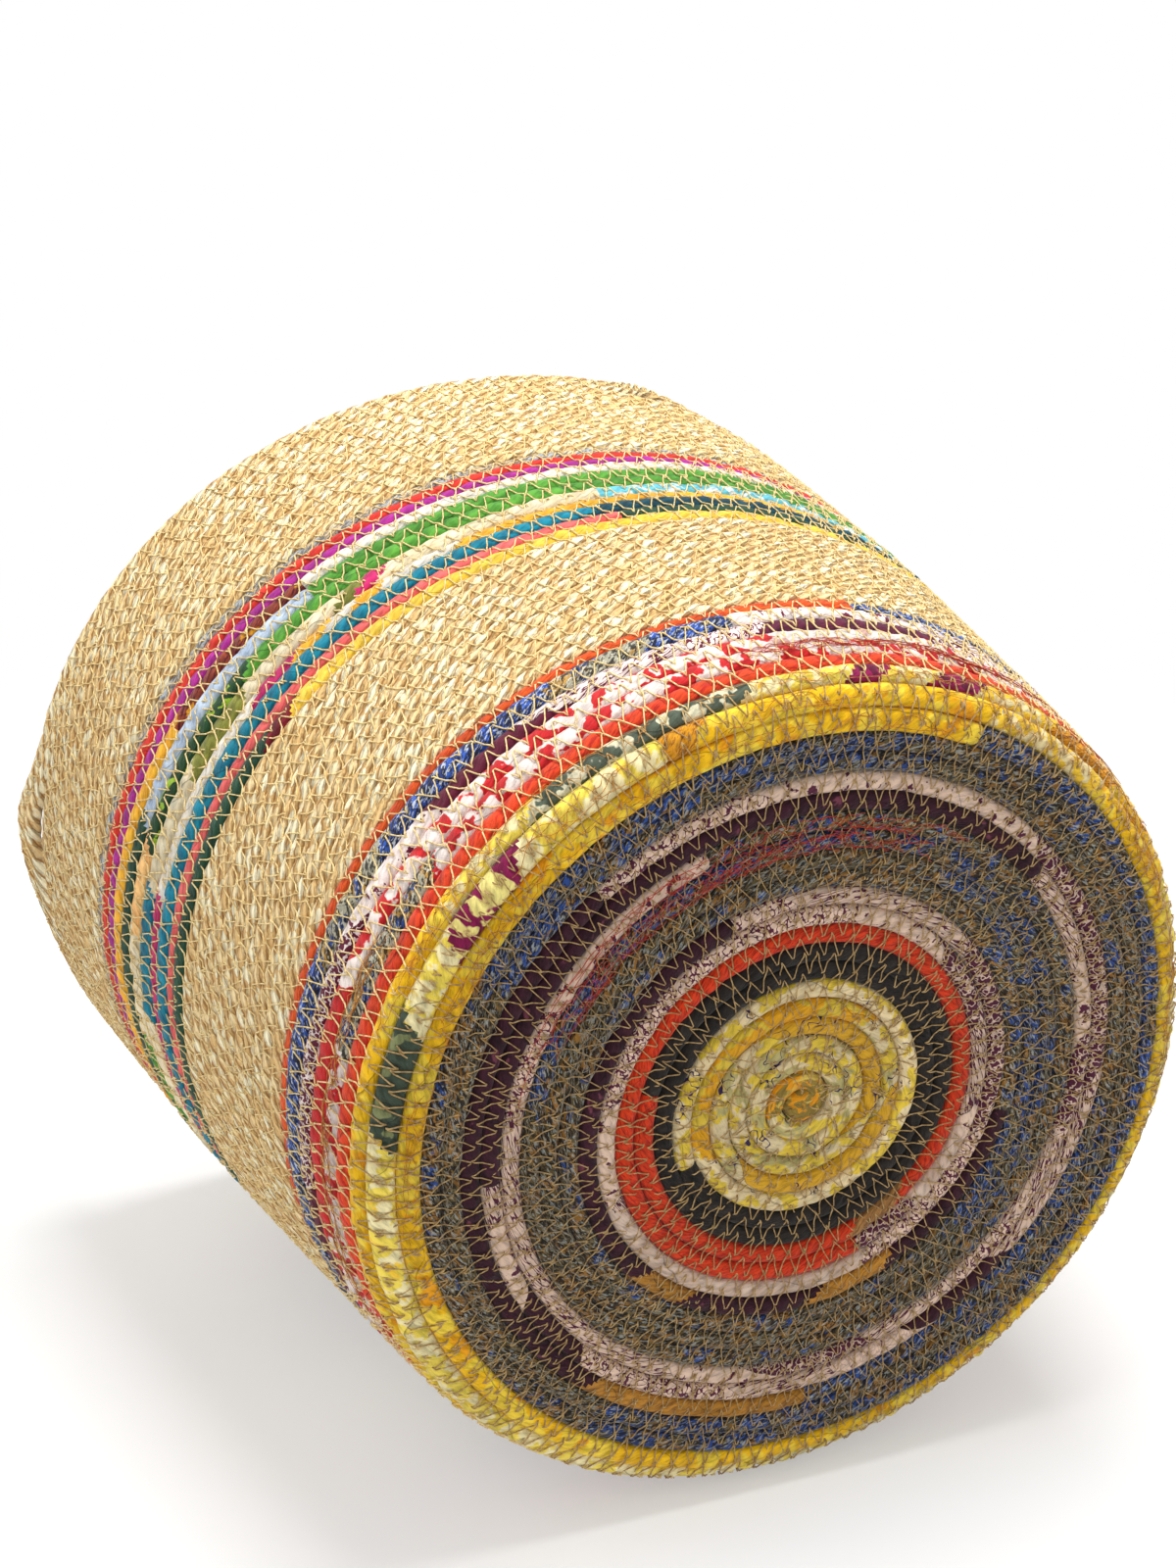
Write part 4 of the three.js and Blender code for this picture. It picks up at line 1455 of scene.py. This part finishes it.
def cloth_finishes() -> list[ClothFinish | GrassFinish]:
    """Lists the finishes of the strips and of the bare cord."""

    def cloth(name: str, slot: str, *screen: tuple[int, int, int], **settings: object) -> ClothFinish:
        """Makes a finish.

        Args:
            name: Its name.
            slot: Its material slot.
            screen: Its two or three colours, as screen values of 0 to 255.
            settings: Its other settings, with any colours given in the same way.

        Returns:
            The finish, with its colours as linear values.
        """
        linears = {key: linear(*v) if isinstance(v, tuple) else v for key, v in settings.items()}
        return ClothFinish(name, slot, *(linear(*colour) for colour in screen), **linears)

    plain, streaks, blobs = Pattern.PLAIN, Pattern.STREAKS, Pattern.BLOBS
    rose, tweed = Pattern.ROSE, Pattern.TWEED
    yellow, cream, orange = (232, 200, 66), (226, 206, 160), (240, 166, 28)
    plum, pink = (66, 26, 42), (230, 200, 178)
    blue, ochre = (48, 80, 152), (156, 110, 46)
    olive, grey = (108, 90, 50), (110, 93, 60)
    white, wine = (240, 226, 218), (104, 24, 52)
    return [
        GrassFinish(),
        cloth("centre_cotton", "yellow_print", (238, 160, 24), (158, 132, 58), (226, 196, 90),
              pattern=blobs, size=4, share=0.5, third_share=0.3, wind=2.0),
        cloth("yellow_cream_print", "yellow_print", yellow, cream, (190, 178, 116), pattern=blobs, size=7,
              share=0.5, third_share=0.35, wind=5.0, fold=(236, 180, 40), fold_share=0.18,
              scribble=(62, 44, 92)),
        cloth("orange_yellow_cotton", "yellow_print", (240, 174, 26), yellow, pattern=blobs, size=9,
              share=0.4, wind=9.0),
        cloth("cream_print", "yellow_print", (238, 216, 168), yellow, pattern=blobs, size=8, share=0.4,
              wind=8.0, fold=yellow, scribble=(62, 44, 92)),
        cloth("golden_cotton", "golden_cloth", (252, 198, 22), (252, 218, 66), (246, 168, 20),
              pattern=blobs, size=12, share=0.45, third_share=0.25, wind=6.0),
        cloth("golden_cream", "golden_cloth", (250, 204, 56), (246, 226, 168), pattern=blobs, size=5,
              share=0.45, wind=5.0),
        cloth("orange_streaks", "yellow_print", (240, 166, 34), (156, 92, 36), pattern=streaks, size=5,
              share=0.4, wind=3.0),
        cloth("charcoal_cotton", "charcoal_cloth", (36, 32, 30), (52, 46, 42), wind=8.0),
        cloth("red_cotton", "red_cloth", (226, 64, 20), (180, 34, 18), pattern=streaks, size=5, share=0.4),
        cloth("tan_cotton", "red_cloth", (176, 126, 68), (124, 84, 48), pattern=streaks, size=6),
        cloth("rose_set", "rose_print", pink, (92, 34, 60), pattern=rose, wind=3.0, fold=plum,
              fold_share=0.05),
        cloth("rose_plain", "rose_print", (234, 208, 188), (212, 180, 158), wind=5.0),
        cloth("plum_cotton", "plum_cloth", plum, (44, 18, 30), (120, 60, 78), pattern=plain, size=7,
              share=0.4, third_share=0.12, wind=6.0, fold=(226, 198, 186), fold_share=0.1),
        cloth("ochre_tweed", "plum_cloth", (192, 134, 46), (146, 98, 44), pattern=streaks, size=7,
              share=0.4, wind=3.0),
        cloth("grey_tweed", "tweed_cloth", grey, blue, ochre, pattern=tweed, share=0.3, third_share=0.4,
              wind=3.0),
        cloth("blue_tweed_base", "tweed_cloth", blue, grey, ochre, pattern=tweed, share=0.35,
              third_share=0.2, wind=3.0),
        cloth("olive_tweed", "tweed_cloth", olive, grey, ochre, pattern=tweed, share=0.4, third_share=0.4,
              wind=3.0),
        cloth("magenta_blob", "yellow_print", (150, 26, 84), (100, 22, 56), pattern=blobs, size=5,
              share=0.3),
        cloth("magenta_flowers", "yellow_print", (246, 230, 140), (136, 24, 76), pattern=blobs, size=7,
              share=0.5, wind=9.0),
        cloth("dark_green_patch", "yellow_print", (62, 74, 60), (128, 134, 90), pattern=blobs, size=6,
              share=0.3),
        cloth("grey_green_print", "yellow_print", (92, 102, 86), (236, 230, 196), pattern=blobs, size=7,
              share=0.45),
        cloth("pale_yellow_print", "yellow_print", (250, 224, 90), (250, 236, 180), (250, 206, 60),
              pattern=blobs, size=7, share=0.5, third_share=0.25, wind=5.0),
        cloth("scarlet_cotton", "red_cloth", (226, 70, 26), (194, 38, 22), pattern=streaks, size=9,
              share=0.4),
        cloth("red_white_print", "red_and_white_print", white, (206, 36, 40), pattern=blobs, size=7,
              share=0.45, wind=8.0, fold=(212, 40, 40), fold_share=0.12),
        cloth("white_fold", "red_and_white_print", (242, 230, 222), (214, 170, 160), pattern=blobs, size=8,
              share=0.25),
        cloth("plum_dots", "plum_dot_print", (244, 228, 222), wine, pattern=rose, wind=4.0, fold=wine,
              fold_share=0.12),
        cloth("plum_chunk", "plum_dot_print", (108, 32, 62), (74, 24, 50)),
        cloth("bright_blue_tweed", "blue_tweed_cloth", (50, 92, 186), (40, 62, 130), pattern=tweed,
              share=0.35, wind=3.0, pale_yarn=(206, 214, 222)),
        cloth("grey_ochre_tweed", "blue_tweed_cloth", (176, 172, 150), (190, 146, 70), blue, pattern=tweed,
              share=0.4, third_share=0.3, wind=3.0, pale_yarn=(220, 214, 190)),
        cloth("orange_cotton", "orange_cloth", (230, 92, 26), (196, 56, 24), pattern=streaks, size=6,
              share=0.4, wind=3.0),
        cloth("peach_cotton", "cream_cloth", (246, 198, 128), (238, 176, 104), wind=3.0),
        cloth("lemon_cotton", "lemon_cloth", (252, 216, 84), (246, 196, 50), wind=3.0),
        cloth("dark_red_cotton", "lemon_cloth", (140, 26, 40), (96, 18, 30)),
        cloth("bottle_green_cotton", "bottle_green_cloth", (30, 62, 48), (42, 84, 60)),
        cloth("coral_cotton", "coral_cloth", (244, 114, 110), (232, 88, 86), wind=3.0),
        cloth("teal_cotton", "teal_cloth", (12, 142, 166), (8, 104, 132), wind=3.5),
        cloth("dark_teal_cotton", "teal_cloth", (18, 74, 88), (16, 52, 64)),
        cloth("amber_cotton", "golden_cloth", (250, 192, 56), (240, 160, 36)),
        cloth("white_cotton", "cream_cloth", (244, 238, 226), (226, 216, 198)),
        cloth("hot_pink_cotton", "magenta_cloth", (214, 48, 116), (180, 28, 92)),
        cloth("cream_cotton", "cream_cloth", (242, 230, 196), (226, 206, 164)),
        cloth("sky_cotton", "sky_print", (110, 200, 216), (226, 240, 240), pattern=blobs, size=7,
              share=0.4),
        cloth("olive_cotton", "green_cloth", (150, 150, 62), (108, 112, 46)),
        cloth("green_cotton", "green_cloth", (96, 166, 58), (66, 132, 44), wind=3.5),
        cloth("lime_print", "green_cloth", (34, 72, 40), (158, 196, 50), pattern=blobs, size=5, share=0.3),
        cloth("pale_blue_cotton", "pale_blue_cloth", (198, 212, 228), (164, 182, 206)),
        cloth("rust_print_cotton", "rust_print", (156, 66, 40), (92, 26, 34), orange, pattern=streaks,
              size=8, share=0.45, third_share=0.2, wind=3.0),
        cloth("magenta_cotton", "magenta_cloth", (190, 46, 158), (146, 32, 124), wind=3.0),
        cloth("red_top_cotton", "red_cloth", (234, 62, 44), (204, 40, 30), wind=3.0),
        cloth("grey_fleck_cotton", "grey_fleck_cloth", (178, 188, 196), (216, 186, 140), pattern=tweed,
              share=0.5, wind=3.0, pale_yarn=(240, 222, 184), dark_yarn=(110, 104, 100)),
    ]


def coil_stretches() -> list[Stretch]:
    """Lists the stretches of the coil from the centre to the rim, with their strips."""

    def stretch(name: str, start: float, row: float, first: str, *later: tuple[int, float, str]) -> Stretch:
        """Makes a stretch.

        Args:
            name: Its name, which is that of its solid.
            start: The turn where it starts.
            row: The width of its rows, in millimetres.
            first: The finish that it starts with.
            later: The row and the azimuth where each further strip starts, and its finish.

        Returns:
            The stretch with its strips.
        """
        strips = [Strip(turn_at(number, azimuth), finish) for number, azimuth, finish in later]
        return Stretch(name, start, row * MM, (Strip(start, first), *strips))

    return [
        stretch("centre_fold", 0.0, 5.85, "centre_cotton"),
        stretch("yellow_print_base", 1.0, 5.85, "yellow_cream_print", (4, 340, "orange_yellow_cotton"),
                (4, 190, "cream_print")),
        stretch("charcoal_base", 6.0, 5.85, "charcoal_cotton"),
        stretch("red_base", 7.9, 5.85, "red_cotton", (8, 100, "tan_cotton"), (8, 80, "red_cotton")),
        stretch("rose_print_inner", 9.25, 5.85, "rose_set", (9, 77, "rose_plain"), (9, 52, "rose_set"),
                (10, 188, "rose_plain"), (10, 100, "rose_set")),
        stretch("plum_and_ochre_base", 10.75, 5.85, "plum_cotton", (10, 73, "ochre_tweed"),
                (10, 42, "plum_cotton"), (11, 168, "ochre_tweed"), (11, 152, "plum_cotton"),
                (11, 115, "ochre_tweed"), (11, 94, "plum_cotton")),
        stretch("tweed_inner", 11.4, 5.85, "grey_tweed", (12, 75, "blue_tweed_base"),
                (12, 330, "olive_tweed"), (13, 75, "blue_tweed_base"), (13, 220, "olive_tweed"),
                (14, 150, "grey_tweed")),
        stretch("rose_print_middle", 14.75, 5.85, "rose_set"),
        stretch("plum_middle", 15.55, 5.85, "plum_cotton"),
        stretch("rose_print_outer", 15.95, 5.85, "rose_set"),
        stretch("plum_outer", 16.8, 5.85, "plum_cotton", (17, 160, "ochre_tweed")),
        stretch("tweed_outer", 17.2, 5.85, "blue_tweed_base", (17, 43, "grey_tweed"),
                (17, 320, "blue_tweed_base"), (17, 240, "olive_tweed"), (18, 155, "blue_tweed_base"),
                (18, 110, "grey_tweed"), (18, 320, "blue_tweed_base"), (18, 240, "grey_tweed"),
                (19, 155, "blue_tweed_base")),
        stretch("golden_corner", 19.62, 7.5, "golden_cotton", (20, 348, "golden_cream"),
                (20, 327, "golden_cotton"), (20, 284, "orange_streaks")),
        stretch("yellow_print_corner", 20.75, 9.5, "pale_yellow_print", (20, 257, "magenta_flowers"),
                (20, 244, "pale_yellow_print"), (20, 233, "dark_green_patch"),
                (20, 217, "pale_yellow_print")),
        stretch("yellow_grey_print", 21.5, 7, "golden_cotton", (21, 352, "orange_streaks"),
                (21, 338, "golden_cream"), (21, 325, "magenta_blob"), (21, 318, "pale_yellow_print"),
                (21, 311, "magenta_blob"), (21, 306, "pale_yellow_print"), (21, 292, "grey_green_print"),
                (21, 262, "pale_yellow_print"), (21, 248, "golden_cotton")),
        stretch("scarlet_row", 22.55, 7, "scarlet_cotton"),
        stretch("red_and_white_print", 23.5, 7.5, "red_white_print", (23, 250, "grey_ochre_tweed"),
                (23, 225, "red_white_print"), (24, 320, "white_fold"), (24, 300, "red_white_print")),
        stretch("plum_dot_print", 25.45, 7, "plum_dots", (25, 325, "plum_chunk"), (25, 300, "plum_dots")),
        stretch("blue_tweed", 26.7, 7.5, "bright_blue_tweed", (26, 287, "grey_ochre_tweed"),
                (26, 273, "bright_blue_tweed"), (26, 247, "grey_ochre_tweed"),
                (26, 232, "bright_blue_tweed")),
        stretch("orange_row", 27.65, 4.2, "orange_cotton"),
        stretch("lower_grass_start", 28.3, 5.5, "grass_cord"),
        stretch("lower_grass_end", 34.1, 5.5, "grass_cord"),
        stretch("lemon_row", 39.5, 6, "lemon_cotton"),
        stretch("bottle_green_row", 39.8, 6, "lemon_cotton", (39, 251, "dark_red_cotton"),
                (39, 246, "bottle_green_cotton")),
        stretch("coral_row", 40.7, 5, "coral_cotton"),
        stretch("teal_row", 41.5, 6.5, "dark_teal_cotton", (41, 295, "teal_cotton")),
        stretch("amber_row", 42.45, 5, "amber_cotton", (42, 278, "white_cotton"),
                (42, 268, "amber_cotton"), (42, 264, "white_cotton"), (42, 260, "amber_cotton"),
                (42, 255, "hot_pink_cotton"), (42, 248, "white_cotton"), (42, 222, "hot_pink_cotton")),
        stretch("sky_print_row", 43.3, 7, "sky_cotton"),
        stretch("cream_row", 43.7, 7, "cream_cotton", (43, 269, "hot_pink_cotton"),
                (43, 266, "olive_cotton"), (43, 263, "cream_cotton"), (43, 248, "olive_cotton"),
                (43, 237, "cream_cotton"), (43, 222, "teal_cotton"), (43, 205, "cream_cotton")),
        stretch("green_row", 44.45, 6.8, "green_cotton", (44, 250, "lime_print"),
                (44, 226, "peach_cotton"), (44, 215, "cream_cotton"), (44, 200, "green_cotton")),
        stretch("pale_blue_row", 45.8, 6.8, "pale_blue_cotton", (45, 228, "bottle_green_cotton")),
        stretch("white_row", 46.4, 6, "white_cotton"),
        stretch("rust_print_row", 46.8, 6, "rust_print_cotton", (46, 240, "amber_cotton")),
        stretch("magenta_row", 47.4, 5, "magenta_cotton"),
        stretch("red_top_row", 48.45, 5, "red_top_cotton"),
        stretch("grey_fleck_row", 49.4, 4.5, "grey_fleck_cotton"),
        stretch("upper_grass_start", 50.2, 5.5, "grass_cord"),
        stretch("upper_grass_end", 55.3, 5.5, "grass_cord"),
        stretch("rim", 60.55, 5.5, "grass_cord"),
    ]


def main() -> None:
    """Builds the studio, the cord, its loose yarns and its stitching."""
    logging.basicConfig(level=logging.INFO, format="%(message)s")
    shape = CoverShape()
    Studio(shape).build()
    winding = Winding(shape, coil_stretches())
    finishes = {finish.name: finish for finish in cloth_finishes()}
    materials = {name: finish.make() for name, finish in finishes.items()}
    CoiledCord(winding, finishes, materials).build()
    red_yarn = ThreadFinish("red_yarn", "red_cloth", linear(214, 60, 34), linear(150, 36, 26))
    gold_yarn = ThreadFinish("gold_yarn", "golden_cloth", linear(226, 150, 40), linear(150, 90, 34))
    pale_yarn = ThreadFinish("pale_yarn", "tweed_cloth", linear(170, 164, 146), linear(110, 92, 60))
    yarns = LooseYarns(winding)
    red_rows = [(turn_at(row, first), turn_at(row, last)) for row, first, last in RED_YARN_ROWS]
    yarns.build("red_yarns", red_yarn, red_rows, number=45, seed=1)
    yarns.build("gold_yarns", gold_yarn, GOLD_YARN_SPANS, number=40, seed=2)
    yarns.build("pale_yarns", pale_yarn, PALE_YARN_SPANS, number=150, seed=3)
    # painted shade: the base's thread is a darker copy of the straw thread, standing for the shade that the
    # base lies in
    dull_thread = ThreadFinish("dull_thread", colour=linear(208, 176, 120), shade=linear(156, 124, 76))
    ZigzagStitching(winding, dull_thread, ThreadFinish()).build(STITCH_ZONES)


if __name__ == "__main__":
    main()
